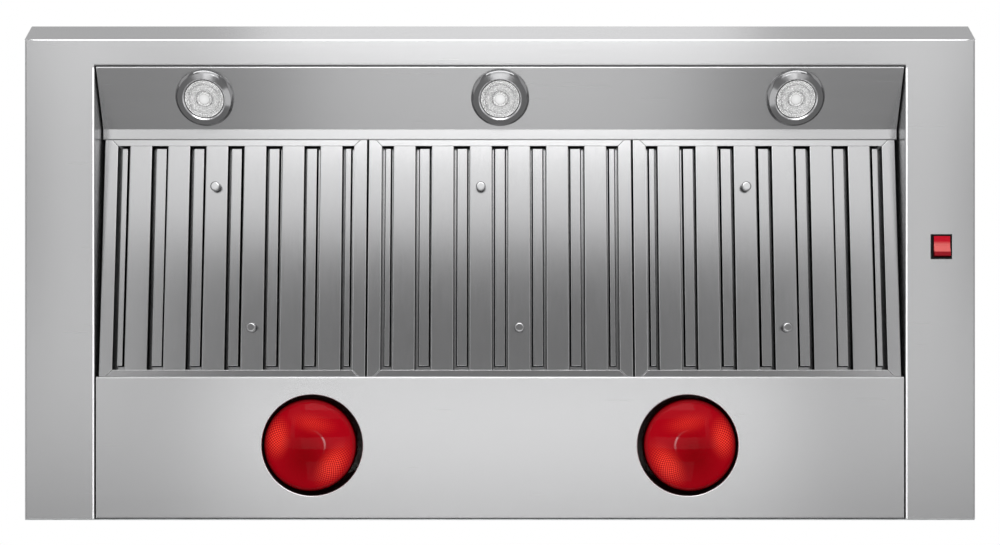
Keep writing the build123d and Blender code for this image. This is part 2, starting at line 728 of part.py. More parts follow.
def make_well(sign):
    """Round sheet well over a lamp hole, with a bottom flange and a hole for the socket's neck."""
    bottom = SHEET + SEAT
    outline = [
        (WELL_RADIUS, bottom),
        (WELL_RADIUS + WELL_FLANGE, bottom),
        (WELL_RADIUS + WELL_FLANGE, bottom + WELL_WALL),
        (WELL_RADIUS + WELL_WALL, bottom + WELL_WALL),
        (WELL_RADIUS + WELL_WALL, WELL_TOP),
        (0, WELL_TOP),
        (0, WELL_TOP - WELL_WALL),
        (WELL_RADIUS, WELL_TOP - WELL_WALL),
    ]
    hole = Pos(sign * BULB_OUTWARD, BULB_REARWARD, WELL_TOP) * Cylinder(SOCKET_NECK, 2 * CUT_PAST)
    return turned(outline) - hole


def make_filter_frame():
    """Channel frame of a filter, open inwards, with mitre slits in its lower lips."""
    half_x = FILTER_WIDTH / 2
    half_y = FILTER_LENGTH / 2
    frame = block((-half_x, half_x), (-half_y, half_y), (0, FILTER_HEIGHT))
    lower_edges = frame.edges().group_by(Axis.Z)[0]
    frame = fillet(lower_edges, FILTER_EDGE_ROUNDING)
    wall = FILTER_SHEET
    frame -= block(
        (-half_x + wall, half_x - wall), (-half_y + wall, half_y - wall), (wall, FILTER_HEIGHT - wall)
    )
    frame -= block(
        (-half_x + FILTER_RAIL, half_x - FILTER_RAIL),
        (-half_y + FILTER_RAIL, half_y - FILTER_RAIL),
        (-wall, FILTER_HEIGHT / 2),
    )
    frame -= block(
        (-half_x + FILTER_TOP_RAIL, half_x - FILTER_TOP_RAIL),
        (-half_y + FILTER_TOP_RAIL, half_y - FILTER_TOP_RAIL),
        (FILTER_HEIGHT / 2, FILTER_HEIGHT + wall),
    )
    inset = (FILTER_RAIL + wall) / 2
    reach = FILTER_RAIL * math.sqrt(2)
    for sign_x in (-1, 1):
        for sign_y in (-1, 1):
            middle = (sign_x * (half_x - inset), sign_y * (half_y - inset), 0)
            slit = Box(reach, MITRE_SLIT, 4 * wall)
            frame -= Pos(*middle) * Rot(0, 0, 45 * sign_x * sign_y) * slit
    return frame


def strip_centres():
    """Places of the wide strips across a filter."""
    first = -(STRIP_COUNT - 1) / 2
    return [(first + index) * STRIP_PITCH for index in range(STRIP_COUNT)]


def make_lower_baffles():
    """Upturned channels whose flat undersides are the wide strips of a filter."""
    half_x = STRIP_WIDTH / 2
    base = FILTER_SHEET + BAFFLE_FIT
    top = base + STRIP_FLANGE
    section = [(-half_x, top), (-half_x, base), (half_x, base), (half_x, top)]
    face = folded_face(section, Side.LEFT, bend=STRIP_BEND, thickness=FILTER_SHEET)
    half_y = FILTER_LENGTH / 2 - FILTER_SHEET - BAFFLE_FIT
    strip = along_y(face, -half_y, half_y)
    return [Pos(x, 0, 0) * strip for x in strip_centres()]


def trough(web, depth, length, centre):
    """Tapered pressing that hangs below the brim, drawn from its flat bottom upwards."""
    base = Pos(*centre) * Rectangle(web, length)
    return extrude(base, amount=depth, taper=-TROUGH_TAPER)


def make_upper_baffle(centre_x, web, brim_left, brim_right, left_lip, right_lip):
    """Downturned channel with a pressed trough that shows in a slot of the filter."""
    top = FILTER_HEIGHT - FILTER_SHEET - BAFFLE_FIT
    half_y = FILTER_LENGTH / 2 - FILTER_SHEET - BAFFLE_FIT
    section = [(brim_left, top), (brim_right, top)]
    if left_lip:
        section.insert(0, (brim_left, top - BRIM_LIP))
    if right_lip:
        section.append((brim_right, top - BRIM_LIP))
    channel = along_y(
        folded_face(section, Side.RIGHT, bend=STRIP_BEND, thickness=FILTER_SHEET), -half_y, half_y
    )
    clear = FILTER_LENGTH / 2 - FILTER_RAIL
    start = -clear + TROUGH_FRONT_GAP
    end = clear - TROUGH_REAR_GAP
    bottom = top - TROUGH_DEPTH
    centre = (centre_x, (start + end) / 2, bottom)
    outer = trough(web, TROUGH_DEPTH - FILTER_SHEET / 2, end - start, centre)
    inner_centre = (centre_x, centre[1], bottom + FILTER_SHEET)
    inner = trough(web - 2 * FILTER_SHEET, TROUGH_DEPTH, end - start - 2 * FILTER_SHEET, inner_centre)
    return (channel + outer) - inner


def make_upper_baffles():
    """All downturned channels of a filter: one over each slot and one at each side."""
    baffles = []
    for index in range(STRIP_COUNT - 1):
        x = (index - (STRIP_COUNT - 2) / 2) * TROUGH_PITCH
        slot = (index - (STRIP_COUNT - 2) / 2) * STRIP_PITCH
        half = BRIM_WIDTH / 2
        baffles.append(make_upper_baffle(x, TROUGH_WEB, slot - half, slot + half, True, True))
    inner_edge = (STRIP_COUNT / 2) * STRIP_PITCH - BRIM_WIDTH / 2
    outer_edge = FILTER_WIDTH / 2 - FILTER_SHEET - BAFFLE_FIT
    slot_start = strip_centres()[-1] + STRIP_WIDTH / 2
    slot_end = FILTER_CLEAR / 2
    centre = (slot_start + slot_end) / 2 - END_TROUGH_SHIFT
    web = slot_end - slot_start - 2 * END_TROUGH_GAP
    right_end = make_upper_baffle(centre, web, inner_edge, outer_edge, True, False)
    return baffles + [right_end, mirror(right_end, Plane.YZ)]


def make_filter_knobs():
    """Two small turned pull knobs under the strips beside the filter's middle."""
    top = FILTER_SHEET + BAFFLE_FIT - SEAT
    bottom = top - KNOB_HEIGHT
    outline = [
        (0, bottom),
        (KNOB_RADIUS, bottom),
        (KNOB_RADIUS, bottom + KNOB_HEAD),
        (KNOB_NECK_RADIUS, bottom + KNOB_HEAD),
        (KNOB_NECK_RADIUS, top),
        (0, top),
    ]
    knob = turned(outline)
    knob = fillet(rim_edges(knob, KNOB_RADIUS)[0], KNOB_ROUNDING)
    knob = fillet(rim_edges(knob, KNOB_RADIUS)[-1], KNOB_ROUNDING / 2)
    strips = strip_centres()
    front_strip, rear_strip = strips[(STRIP_COUNT - 1) // 2], strips[STRIP_COUNT // 2]
    return [Pos(front_strip, -KNOB_OFFSET, 0) * knob, Pos(rear_strip, KNOB_OFFSET, 0) * knob]


def switch_place():
    """Origin of the rocker switch, on the underside of the right frame."""
    return Pos(SWITCH_X, -SWITCH_FROM_WALL, 0)


def make_heat_lamp_switch():
    """Black switch housing with its bezel, a rocker well and two pivot sockets."""
    body = block(
        (-SWITCH_BODY[0] / 2, SWITCH_BODY[0] / 2),
        (-SWITCH_BODY[1] / 2, SWITCH_BODY[1] / 2),
        (-SEAT, SWITCH_BODY_HEIGHT),
    )
    bezel = block(
        (-SWITCH_BEZEL[0] / 2, SWITCH_BEZEL[0] / 2),
        (-SWITCH_BEZEL[1] / 2, SWITCH_BEZEL[1] / 2),
        (-SWITCH_BEZEL_HEIGHT, -SEAT),
    )
    bezel = chamfer(bezel.edges().group_by(Axis.Z)[0], SWITCH_BEZEL_CHAMFER)
    half_x = ROCKER_SIZE[0] / 2 + ROCKER_CLEARANCE
    swing = ROCKER_SIZE[1] / 2 + 2 * ROCKER_CLEARANCE
    depth = ROCKER_PIVOT_HEIGHT + ROCKER_DEPTH + swing * math.sin(math.radians(ROCKER_TILT))
    well = block((-half_x, half_x), (-swing, swing), (-SWITCH_BEZEL_HEIGHT - CUT_PAST, depth))
    housing = body + bezel - well
    reach = SWITCH_BODY[0] / 2 + SEAM
    ends = [(sign * reach, 0, ROCKER_PIVOT_HEIGHT) for sign in (-1, 1)]
    pivot = rod(PIVOT_RADIUS + PIVOT_CLEARANCE, *ends)
    return switch_place() * (housing - pivot)


def make_heat_lamp_rocker():
    """Red rocker with a dished face and two pivot stubs, tilted to its off side."""
    half_x, half_y = ROCKER_SIZE[0] / 2, ROCKER_SIZE[1] / 2
    top = ROCKER_DEPTH
    proud = -ROCKER_PROUD - ROCKER_PIVOT_HEIGHT
    section = [
        (-half_y, top - ROCKER_EDGE),
        (-half_y, proud),
        (0, proud + ROCKER_DIP),
        (half_y, proud),
        (half_y, top - ROCKER_EDGE),
        (half_y - ROCKER_EDGE, top),
        (-half_y + ROCKER_EDGE, top),
    ]
    rocker = along_x(Face(Polyline(*section, close=True).wire()), -half_x, half_x)
    reach = SWITCH_BODY[0] / 2 - SEAM
    rocker += rod(PIVOT_RADIUS, (-reach, 0, 0), (reach, 0, 0))
    tilted = Pos(0, 0, ROCKER_PIVOT_HEIGHT) * Rot(-ROCKER_TILT, 0, 0) * rocker
    return switch_place() * tilted


def button_places():
    """Centres of the push buttons on the front band."""
    first = -(len(BUTTON_NAMES) - 1) / 2
    return {name: (first + index) * BUTTON_PITCH for index, name in enumerate(BUTTON_NAMES)}


def make_control_bezel():
    """Flat trim plate on the front band with one guide hole for each button."""
    front = FRONT_Y - SEAT - CONTROL_BEZEL_THICKNESS
    plate = block(
        (-CONTROL_BEZEL[0] / 2, CONTROL_BEZEL[0] / 2),
        (front, FRONT_Y - SEAT),
        (BUTTON_BAND_HEIGHT - CONTROL_BEZEL[1] / 2, BUTTON_BAND_HEIGHT + CONTROL_BEZEL[1] / 2),
    )
    plate = fillet(plate.edges().filter_by(Axis.Y), CONTROL_BEZEL_ROUNDING)
    plate = chamfer(plate.faces().sort_by(Axis.Y)[0].edges(), CONTROL_BEZEL_CHAMFER)
    for x in button_places().values():
        ends = [(x, y, BUTTON_BAND_HEIGHT) for y in (front - CUT_PAST, FRONT_Y + CUT_PAST)]
        plate -= rod(BUTTON_RADIUS + BUTTON_GUIDE_CLEARANCE, *ends)
    return plate


def make_button(x):
    """Round push button with a collar behind the trim plate and a short stem."""
    bezel_front = FRONT_Y - SEAT - CONTROL_BEZEL_THICKNESS
    face_y = bezel_front - BUTTON_PROUD
    collar_y = FRONT_Y - SEAT + BUTTON_STOP_GAP
    collar_end = collar_y + BUTTON_COLLAR_LENGTH
    z = BUTTON_BAND_HEIGHT
    barrel = rod(BUTTON_RADIUS, (x, face_y, z), (x, collar_end, z))
    barrel = fillet(barrel.edges().sort_by(Axis.Y)[0], BUTTON_ROUNDING)
    collar = rod(BUTTON_RADIUS + BUTTON_COLLAR, (x, collar_y, z), (x, collar_end, z))
    stem = rod(BUTTON_STEM_RADIUS, (x, collar_end, z), (x, collar_end + BUTTON_STEM_LENGTH, z))
    return barrel + collar + stem


def make_control_board():
    """Circuit board with a switch behind each button and posts to the front sheet."""
    collar_end = FRONT_Y - SEAT + BUTTON_STOP_GAP + BUTTON_COLLAR_LENGTH
    tact_front = collar_end + BUTTON_STEM_LENGTH + BUTTON_TRAVEL + BUTTON_STOP_GAP
    board_front = tact_front + TACT_LENGTH
    z = BUTTON_BAND_HEIGHT
    board = block(
        (-BOARD[0] / 2, BOARD[0] / 2),
        (board_front, board_front + BOARD_THICKNESS),
        (z - BOARD[1] / 2, z + BOARD[1] / 2),
    )
    for x in button_places().values():
        base_size = (TACT_BASE, TACT_LENGTH - TACT_CAP, TACT_BASE)
        base = Box(*base_size, align=(Align.CENTER, Align.MAX, Align.CENTER))
        board += Pos(x, board_front, z) * base
        board += rod(TACT_RADIUS, (x, tact_front, z), (x, board_front, z))
    for x in (-BOARD[0] / 2 + BOARD_POST_RADIUS, BOARD[0] / 2 - BOARD_POST_RADIUS):
        for end in (z - BOARD[1] / 2 + BOARD_POST_RADIUS, z + BOARD[1] / 2 - BOARD_POST_RADIUS):
            board += rod(BOARD_POST_RADIUS, (x, FRONT_Y + SHEET + SEAT, end), (x, board_front, end))
    return board


def scroll_point(angle, shift):
    """Point of the scroll at an angle in degrees, counted from the wall side over the top."""
    share = (angle - SCROLL_ARC_STARTS[0]) / (QUARTER_TURN * len(SCROLL_ARC_STARTS))
    radius = SCROLL_START_RADIUS + (SCROLL_END_RADIUS - SCROLL_START_RADIUS) * share + shift
    turn = math.radians(angle)
    return (BLOWER_Y + radius * math.cos(turn), BLOWER_AXIS_HEIGHT + radius * math.sin(turn))


def scroll_face(shift, top):
    """Side outline of the blower, grown outwards by shift, up to the given height."""
    arcs = [
        ThreePointArc(*[scroll_point(start + turn, shift) for turn in (0, QUARTER_TURN / 2, QUARTER_TURN)])
        for start in SCROLL_ARC_STARTS
    ]
    outer_y = BLOWER_Y + SCROLL_END_RADIUS
    inner_y = outer_y - OUTLET_DEPTH
    start = scroll_point(SCROLL_ARC_STARTS[0], shift)
    rest = Polyline(
        scroll_point(SCROLL_ARC_STARTS[-1] + QUARTER_TURN, shift),
        (outer_y + shift, top),
        (inner_y - shift, top),
        (inner_y - shift, start[1]),
        start,
    )
    edges = [edge for arc in arcs for edge in arc.edges()] + [*rest.edges()]
    return Face(Wire(edges))


def make_blower_wrap():
    """Scroll sheet of the blower with its outlet flange under the top panel."""
    top = TOP_UNDERSIDE - SEAT
    half = BLOWER_HALF_WIDTH
    wrap = along_x(scroll_face(BLOWER_SHEET, top), -half, half)
    wrap -= along_x(scroll_face(0, top + CUT_PAST), -half - CUT_PAST, half + CUT_PAST)
    outer_y = BLOWER_Y + SCROLL_END_RADIUS
    inner_y = outer_y - OUTLET_DEPTH
    reach = OUTLET_FLANGE
    flange = block((-half, half), (inner_y - reach, outer_y + reach), (top - BLOWER_SHEET, top))
    flange -= block(
        (-half - CUT_PAST, half + CUT_PAST),
        (inner_y, outer_y),
        (top - CUT_PAST, top + CUT_PAST),
    )
    return wrap + flange


def make_blower_side(sign):
    """Side plate of the blower with its rolled inlet."""
    near = sign * (BLOWER_HALF_WIDTH + SEAT)
    far = sign * (BLOWER_HALF_WIDTH + SEAT + BLOWER_SHEET)
    top = TOP_UNDERSIDE - SEAT
    plate = along_x(scroll_face(BLOWER_SHEET, top), min(near, far), max(near, far))
    centre = (BLOWER_Y, BLOWER_AXIS_HEIGHT)
    lip_end = sign * (BLOWER_HALF_WIDTH - INLET_LIP)
    plate += rod(INLET_RADIUS + BLOWER_SHEET, (lip_end, *centre), (far, *centre))
    ends = [(x, *centre) for x in (lip_end - CUT_PAST * sign, far + CUT_PAST * sign)]
    return plate - rod(INLET_RADIUS, *ends)


def blade_face():
    """Section of one curved blade, in (Y, Z) about the wheel's axis."""
    inner = WHEEL_EYE_RADIUS + BLADE_INSET
    outer = WHEEL_RADIUS - BLADE_INSET
    sweep = math.radians(BLADE_SWEEP)
    bulge = (inner + outer) / 2
    start = (inner, 0)
    end = (outer * math.cos(sweep), outer * math.sin(sweep))
    middle = (bulge * math.cos(sweep * BLADE_CURVE), bulge * math.sin(sweep * BLADE_CURVE))
    line = ThreePointArc(start, middle, end)
    return Face(Wire(line.edges()).offset_2d(BLADE_THICKNESS, kind=Kind.ARC, side=Side.LEFT, closed=True))


def make_blower_impeller():
    """Double inlet wheel: centre plate, hub, end rings and forward curved blades."""
    half = WHEEL_HALF_WIDTH
    centre_plate = rod(WHEEL_RADIUS, (-WHEEL_PLATE / 2, 0, 0), (WHEEL_PLATE / 2, 0, 0))
    wheel = centre_plate + rod(HUB_RADIUS, (-WHEEL_PLATE / 2, 0, 0), (HUB_LENGTH - WHEEL_PLATE / 2, 0, 0))
    for sign in (-1, 1):
        ring = rod(WHEEL_RADIUS, (sign * (half - WHEEL_RING), 0, 0), (sign * half, 0, 0))
        ends = [(sign * x, 0, 0) for x in (half - 2 * WHEEL_RING, half + CUT_PAST)]
        wheel += ring - rod(WHEEL_EYE_RADIUS, *ends)
    blade = along_x(blade_face(), -half + WHEEL_RING / 2, half - WHEEL_RING / 2)
    blades = [Rot(index * 360 / BLADE_COUNT, 0, 0) * blade for index in range(BLADE_COUNT)]
    wheel = wheel + blades
    wheel -= rod(SHAFT_RADIUS + SHAFT_CLEARANCE, (-CUT_PAST, 0, 0), (HUB_LENGTH + CUT_PAST, 0, 0))
    return Pos(0, BLOWER_Y, BLOWER_AXIS_HEIGHT) * wheel


def motor_back():
    """Rear face of the motor, level with the outside of the left side plate."""
    return -(BLOWER_HALF_WIDTH + 2 * SEAT + BLOWER_SHEET)


def make_motor():
    """Round motor inside the left half of the wheel, bored for its shaft."""
    shoulder = -MOTOR_FRONT_GAP - MOTOR_BOSS
    body = rod(MOTOR_RADIUS, (motor_back(), 0, 0), (shoulder, 0, 0))
    body = fillet(body.edges().filter_by(GeomType.CIRCLE).sort_by(Axis.X)[-1], MOTOR_ROUNDING)
    body += rod(MOTOR_BOSS_RADIUS, (shoulder - MOTOR_BOSS, 0, 0), (-MOTOR_FRONT_GAP, 0, 0))
    body -= rod(SHAFT_RADIUS + SHAFT_CLEARANCE, (-SHAFT_DEPTH, 0, 0), (0, 0, 0))
    return Pos(0, BLOWER_Y, BLOWER_AXIS_HEIGHT) * body


def make_motor_shaft():
    """Shaft from inside the motor to the wheel's hub."""
    end = HUB_LENGTH - WHEEL_PLATE / 2 + SHAFT_END
    centre = (BLOWER_Y, BLOWER_AXIS_HEIGHT)
    return rod(SHAFT_RADIUS, (SEAM - SHAFT_DEPTH, *centre), (end, *centre))


def make_motor_bracket():
    """Three armed plate that holds the motor in the left inlet."""
    near = motor_back() - SEAT
    far = near - SPIDER_THICKNESS
    reach = INLET_RADIUS + SPIDER_ARM_WIDTH
    bracket = rod(MOTOR_RADIUS - MOTOR_PLATE_INSET, (far, 0, 0), (near, 0, 0))
    for index in range(SPIDER_ARMS):
        arm = block((far, near), (0, reach), (-SPIDER_ARM_WIDTH / 2, SPIDER_ARM_WIDTH / 2))
        bracket += Rot(90 + index * 360 / SPIDER_ARMS, 0, 0) * arm
    return Pos(0, BLOWER_Y, BLOWER_AXIS_HEIGHT) * bracket


def make_run_capacitor():
    """Motor capacitor in a cup on the right side plate."""
    x = BLOWER_HALF_WIDTH + 2 * SEAT + BLOWER_SHEET
    y = BLOWER_Y + SCROLL_END_RADIUS - CAPACITOR_RADIUS - CAPACITOR_INSET
    z = TOP_UNDERSIDE - CAPACITOR_LENGTH
    can = rod(CAPACITOR_RADIUS, (x, y, z), (x + CAPACITOR_LENGTH, y, z))
    can = fillet(can.edges().filter_by(GeomType.CIRCLE).sort_by(Axis.X)[-1], CAPACITOR_ROUNDING)
    return can + rod(CAPACITOR_RADIUS + CAPACITOR_CUP_WALL, (x, y, z), (x + CAPACITOR_CUP, y, z))


def make_duct_collar():
    """Round duct collar with a flange, a stiffening bead and a stop ledge for the flaps."""
    inner = COLLAR_RADIUS - COLLAR_SHEET
    bottom = CANOPY_HEIGHT + SEAT
    top = bottom + COLLAR_HEIGHT
    ledge = bottom + STOP_HEIGHT
    bead = top - COLLAR_BEAD_DROP
    outline = [
        (inner, bottom),
        (COLLAR_RADIUS + COLLAR_FLANGE, bottom),
        (COLLAR_RADIUS + COLLAR_FLANGE, bottom + COLLAR_SHEET),
        (COLLAR_RADIUS, bottom + COLLAR_SHEET),
        (COLLAR_RADIUS, top),
        (inner, top),
        (inner, bead + COLLAR_BEAD),
        (inner - COLLAR_BEAD, bead),
        (inner, bead - COLLAR_BEAD),
        (inner, ledge),
        (inner - STOP_LEDGE, ledge),
        (inner - STOP_LEDGE, ledge - COLLAR_SHEET),
        (inner, ledge - COLLAR_SHEET),
    ]
    collar = Pos(0, DUCT_Y, 0) * turned(outline)
    pin_z = damper_pin_height()
    reach = COLLAR_RADIUS + CUT_PAST
    collar -= rod(PIN_RADIUS + SHAFT_CLEARANCE, (-reach, DUCT_Y, pin_z), (reach, DUCT_Y, pin_z))
    holes = screw_holes(collar_screw_places(), bottom)
    return collar - holes


def damper_pin_height():
    """Height of the damper pin, so that the closed flaps lie just above the stop ledge."""
    flap_bottom = CANOPY_HEIGHT + SEAT + STOP_HEIGHT + FLAP_SEAT
    return flap_bottom + FLAP_THICKNESS / 2


def make_damper_pin():
    """Straight pin across the collar that carries both flaps."""
    reach = COLLAR_RADIUS - SEAM
    z = damper_pin_height()
    return rod(PIN_RADIUS, (-reach, DUCT_Y, z), (reach, DUCT_Y, z))


def make_damper_flap(sign):
    """Half round flap with two knuckles on the pin; sign is the side it lies on."""
    outer = COLLAR_RADIUS - COLLAR_SHEET - FLAP_CLEARANCE
    half = FLAP_THICKNESS / 2
    disc = Cylinder(outer, FLAP_THICKNESS)
    keep = block((-outer, outer), (sign * FLAP_EDGE_GAP, sign * 2 * outer), (-half, half))
    flap = disc & keep
    barrel = PIN_RADIUS + KNUCKLE_CLEARANCE + KNUCKLE_WALL
    for side in (-1, 1):
        start = side * KNUCKLE_SPACING / 2 + sign * (KNUCKLE_LENGTH / 2 + SEAM)
        ends = (start - KNUCKLE_LENGTH / 2, start + KNUCKLE_LENGTH / 2)
        flap += rod(barrel, (ends[0], 0, 0), (ends[1], 0, 0))
        flap += block(ends, (0, sign * (FLAP_EDGE_GAP + KNUCKLE_ROOT)), (-half, half))
    flap -= rod(PIN_RADIUS + KNUCKLE_CLEARANCE, (-outer, 0, 0), (outer, 0, 0))
    return Pos(0, DUCT_Y, damper_pin_height()) * flap


def box_centre():
    """Middle of the junction box's top, in the corner of the top and back panels."""
    return (BOX_CENTRE_X, BACK_FACE - SEAT - BOX_SIZE[1] / 2, TOP_UNDERSIDE - SEAT)


def conduit_hole():
    """Cutter for the conduit hole through the back panel and the junction box's rear wall."""
    x, _, top = box_centre()
    z = top - BOX_SIZE[2] / 2
    return rod(CONDUIT_RADIUS, (x, BACK_FACE - CUT_PAST, z), (x, CUT_PAST, z))


def make_junction_box():
    """Sheet box in the upper rear corner, open below, with a conduit hole in its rear wall."""
    x, y, z = BOX_SIZE
    place = Pos(*box_centre())
    outer = place * Box(x, y, z, align=(Align.CENTER, Align.CENTER, Align.MAX))
    wall = 2 * BOX_SHEET
    inside = Box(x - wall, y - wall, z, align=(Align.CENTER, Align.CENTER, Align.MAX))
    return outer - place * Pos(0, 0, -BOX_SHEET) * inside - conduit_hole()


def make_junction_box_cover():
    """Tray shaped cover that closes the junction box from below."""
    x, y, z = BOX_SIZE
    gap = SEAM + BOX_SHEET
    place = Pos(*box_centre()) * Pos(0, 0, -z - SEAT)
    plate = Box(x, y, BOX_SHEET, align=(Align.CENTER, Align.CENTER, Align.MAX))
    inner = (x - 2 * gap, y - 2 * gap)
    rim = Box(*inner, BOX_COVER_LIP, align=(Align.CENTER, Align.CENTER, Align.MIN))
    core = (inner[0] - 2 * BOX_SHEET, inner[1] - 2 * BOX_SHEET)
    hollow = Box(*core, 2 * BOX_COVER_LIP, align=(Align.CENTER, Align.CENTER, Align.MIN))
    return place * (plate + (rim - hollow))


def make_led_driver():
    """Power supply of the lights, screwed to the back panel by two feet."""
    x, y, z = DRIVER_SIZE
    back = BACK_FACE - SEAT
    low = (DRIVER_X - x / 2, DRIVER_X + x / 2)
    body = block(low, (back - y, back), (DRIVER_HEIGHT, DRIVER_HEIGHT + z))
    body = chamfer(body.faces().sort_by(Axis.Y)[0].edges(), DRIVER_CHAMFER)
    feet = (low[0] - DRIVER_FOOT, low[1] + DRIVER_FOOT)
    return body + block(feet, (back - 2 * SHEET, back), (DRIVER_HEIGHT, DRIVER_HEIGHT + z))


def make_screws():
    """Pan head screws of the top panel and of the duct collar."""
    shank = Cylinder(SCREW_RADIUS, SCREW_LENGTH, align=(Align.CENTER, Align.CENTER, Align.MAX))
    head = Cylinder(SCREW_HEAD_RADIUS, SCREW_HEAD_HEIGHT, align=(Align.CENTER, Align.CENTER, Align.MIN))
    head = chamfer(head.edges().sort_by(Axis.Z)[-1], SCREW_HEAD_HEIGHT / 3)
    screw = Pos(0, 0, SEAT) * (shank + head)
    screws = [Pos(x, y, CANOPY_HEIGHT) * screw for x, y in top_screw_places()]
    flange_top = CANOPY_HEIGHT + SEAT + COLLAR_SHEET
    screws += [Pos(x, y, flange_top) * screw for x, y in collar_screw_places()]
    return screws


def save_canopy():
    """Folded sheets of the canopy."""
    save("front_panel", make_front_panel())
    save("left_side_panel", make_side_panel(-1))
    save("right_side_panel", make_right_side_panel())
    save("top_panel", make_top_panel())
    save("back_panel", make_back_panel())
    save("light_panel", make_light_panel())
    save("heat_lamp_panel", make_heat_lamp_panel())
    save("screws", make_screws())


def save_lights():
    """Bezels, lenses and housings of the three lights."""
    bezel, lens, housing = make_led_bezel(), make_led_lens(), make_led_housing()
    for name, place in light_places().items():
        save(f"led_bezel_{name}", place * bezel)
        save(f"led_lens_{name}", place * lens)
        save(f"led_housing_{name}", place * housing)
    save("led_emitters", [place * make_led_emitter() for place in light_places().values()])
    save("led_driver", make_led_driver())


def save_heat_lamps():
    """Wells, bulbs, screw bases and sockets of the heat lamps, and their switch."""
    for name, (x, y) in lamp_places().items():
        save(f"heat_lamp_well_{name}", Pos(x, y, 0) * make_well(math.copysign(1, x)))
    places = {name: Pos(x, y, 0) for name, (x, y) in bulb_places().items()}
    for name, place in places.items():
        save(f"heat_lamp_bulb_{name}", place * make_bulb())
    save("heat_lamp_caps", [place * make_cap() for place in places.values()])
    save("heat_lamp_sockets", [place * make_socket() for place in places.values()])
    save("heat_lamp_switch", make_heat_lamp_switch())
    save("heat_lamp_rocker", make_heat_lamp_rocker())


def save_filters():
    """Frames, baffles and knobs of the three filters."""
    frame, knobs = make_filter_frame(), make_filter_knobs()
    lower, upper = make_lower_baffles(), make_upper_baffles()
    for name, place in filter_places().items():
        save(f"filter_frame_{name}", place * frame)
        save(f"lower_baffles_{name}", [place * strip for strip in lower])
        save(f"upper_baffles_{name}", [place * strip for strip in upper])
        save(f"filter_knobs_{name}", [place * knob for knob in knobs])


def save_controls():
    """Trim plate, push buttons and circuit board of the front band."""
    save("control_bezel", make_control_bezel())
    for name, x in button_places().items():
        save(name, make_button(x))
    save("control_board", make_control_board())


def save_blower():
    """Blower, motor, duct collar and damper."""
    save("blower_wrap", make_blower_wrap())
    save("blower_side_left", make_blower_side(-1))
    save("blower_side_right", make_blower_side(1))
    save("blower_impeller", make_blower_impeller())
    save("motor", make_motor())
    save("motor_shaft", make_motor_shaft())
    save("motor_bracket", make_motor_bracket())
    save("run_capacitor", make_run_capacitor())
    save("duct_collar", make_duct_collar())
    save("damper_pin", make_damper_pin())
    save("damper_flap_front", make_damper_flap(-1))
    save("damper_flap_rear", make_damper_flap(1))
    save("junction_box", make_junction_box())
    save("junction_box_cover", make_junction_box_cover())


save_canopy()
save_lights()
save_heat_lamps()
save_filters()
save_controls()
save_blower()
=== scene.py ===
"""Finishes and studio for a wall mount range hood with baffle filters and heat lamps."""

import math

import bmesh
import bpy
from bpy.props import FloatProperty, FloatVectorProperty, IntProperty, PointerProperty
from mathutils import Matrix, Vector


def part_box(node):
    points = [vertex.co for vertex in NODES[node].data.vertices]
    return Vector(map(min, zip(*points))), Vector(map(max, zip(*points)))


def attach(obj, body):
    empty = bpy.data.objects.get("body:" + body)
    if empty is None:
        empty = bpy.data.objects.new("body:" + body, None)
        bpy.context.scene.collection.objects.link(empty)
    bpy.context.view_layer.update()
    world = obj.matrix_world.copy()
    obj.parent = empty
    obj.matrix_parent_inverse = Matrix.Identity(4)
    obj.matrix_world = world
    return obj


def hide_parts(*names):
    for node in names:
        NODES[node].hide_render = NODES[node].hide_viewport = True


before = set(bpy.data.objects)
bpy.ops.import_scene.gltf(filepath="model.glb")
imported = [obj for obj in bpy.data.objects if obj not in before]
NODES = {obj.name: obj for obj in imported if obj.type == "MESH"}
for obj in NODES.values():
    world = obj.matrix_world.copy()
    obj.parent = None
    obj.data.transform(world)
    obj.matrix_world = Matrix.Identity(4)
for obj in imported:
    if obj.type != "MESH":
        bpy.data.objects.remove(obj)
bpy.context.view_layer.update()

bl_info = {
    "name": "Range Hood Finishes",
    "version": (1, 0, 0),
    "blender": (4, 5, 0),
    "location": "View3D > Sidebar > Range Hood",
    "description": "Dresses a stainless range hood and sets up its studio",
    "category": "Object",
}

SIDES = ("left", "centre", "right")
LAMP_SIDES = ("left", "right")


def middle(node):
    """Centre of a node's box."""
    low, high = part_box(node)
    return (Vector(low) + Vector(high)) / 2


def add(tree, kind, sockets=None, **settings):
    """Adds a shader node, sets its fields and fills its sockets with values or links."""
    node = tree.nodes.new("ShaderNode" + kind)
    for field, setting in settings.items():
        setattr(node, field, setting)
    for socket, value in (sockets or {}).items():
        if isinstance(value, bpy.types.NodeSocket):
            tree.links.new(value, node.inputs[socket])
        else:
            node.inputs[socket].default_value = value
    return node


def maths(tree, operation, *values):
    """Result of one maths node."""
    node = add(tree, "Math", dict(enumerate(values)), operation=operation)
    return node.outputs[0]


def times(tree, first, second):
    """Product of two values."""
    return maths(tree, "MULTIPLY", first, second)


def ramp(tree, value, low, high, out_low=0.0, out_high=1.0):
    """Smooth change from one value to another between two limits."""
    sockets = {"Value": value, "From Min": low, "From Max": high, "To Min": out_low, "To Max": out_high}
    return add(tree, "MapRange", sockets, interpolation_type="SMOOTHSTEP").outputs["Result"]


def blend(tree, mask, first, second, kind="RGBA"):
    """Mix of two colours, or of two vectors, by a mask."""
    sockets = {"Factor": mask, "A": first, "B": second}
    node = add(tree, "Mix", data_type=kind)
    for label, value in sockets.items():
        socket = next(s for s in node.inputs if s.name == label and s.enabled)
        if isinstance(value, bpy.types.NodeSocket):
            tree.links.new(value, socket)
        else:
            socket.default_value = value
    return next(s for s in node.outputs if s.enabled)


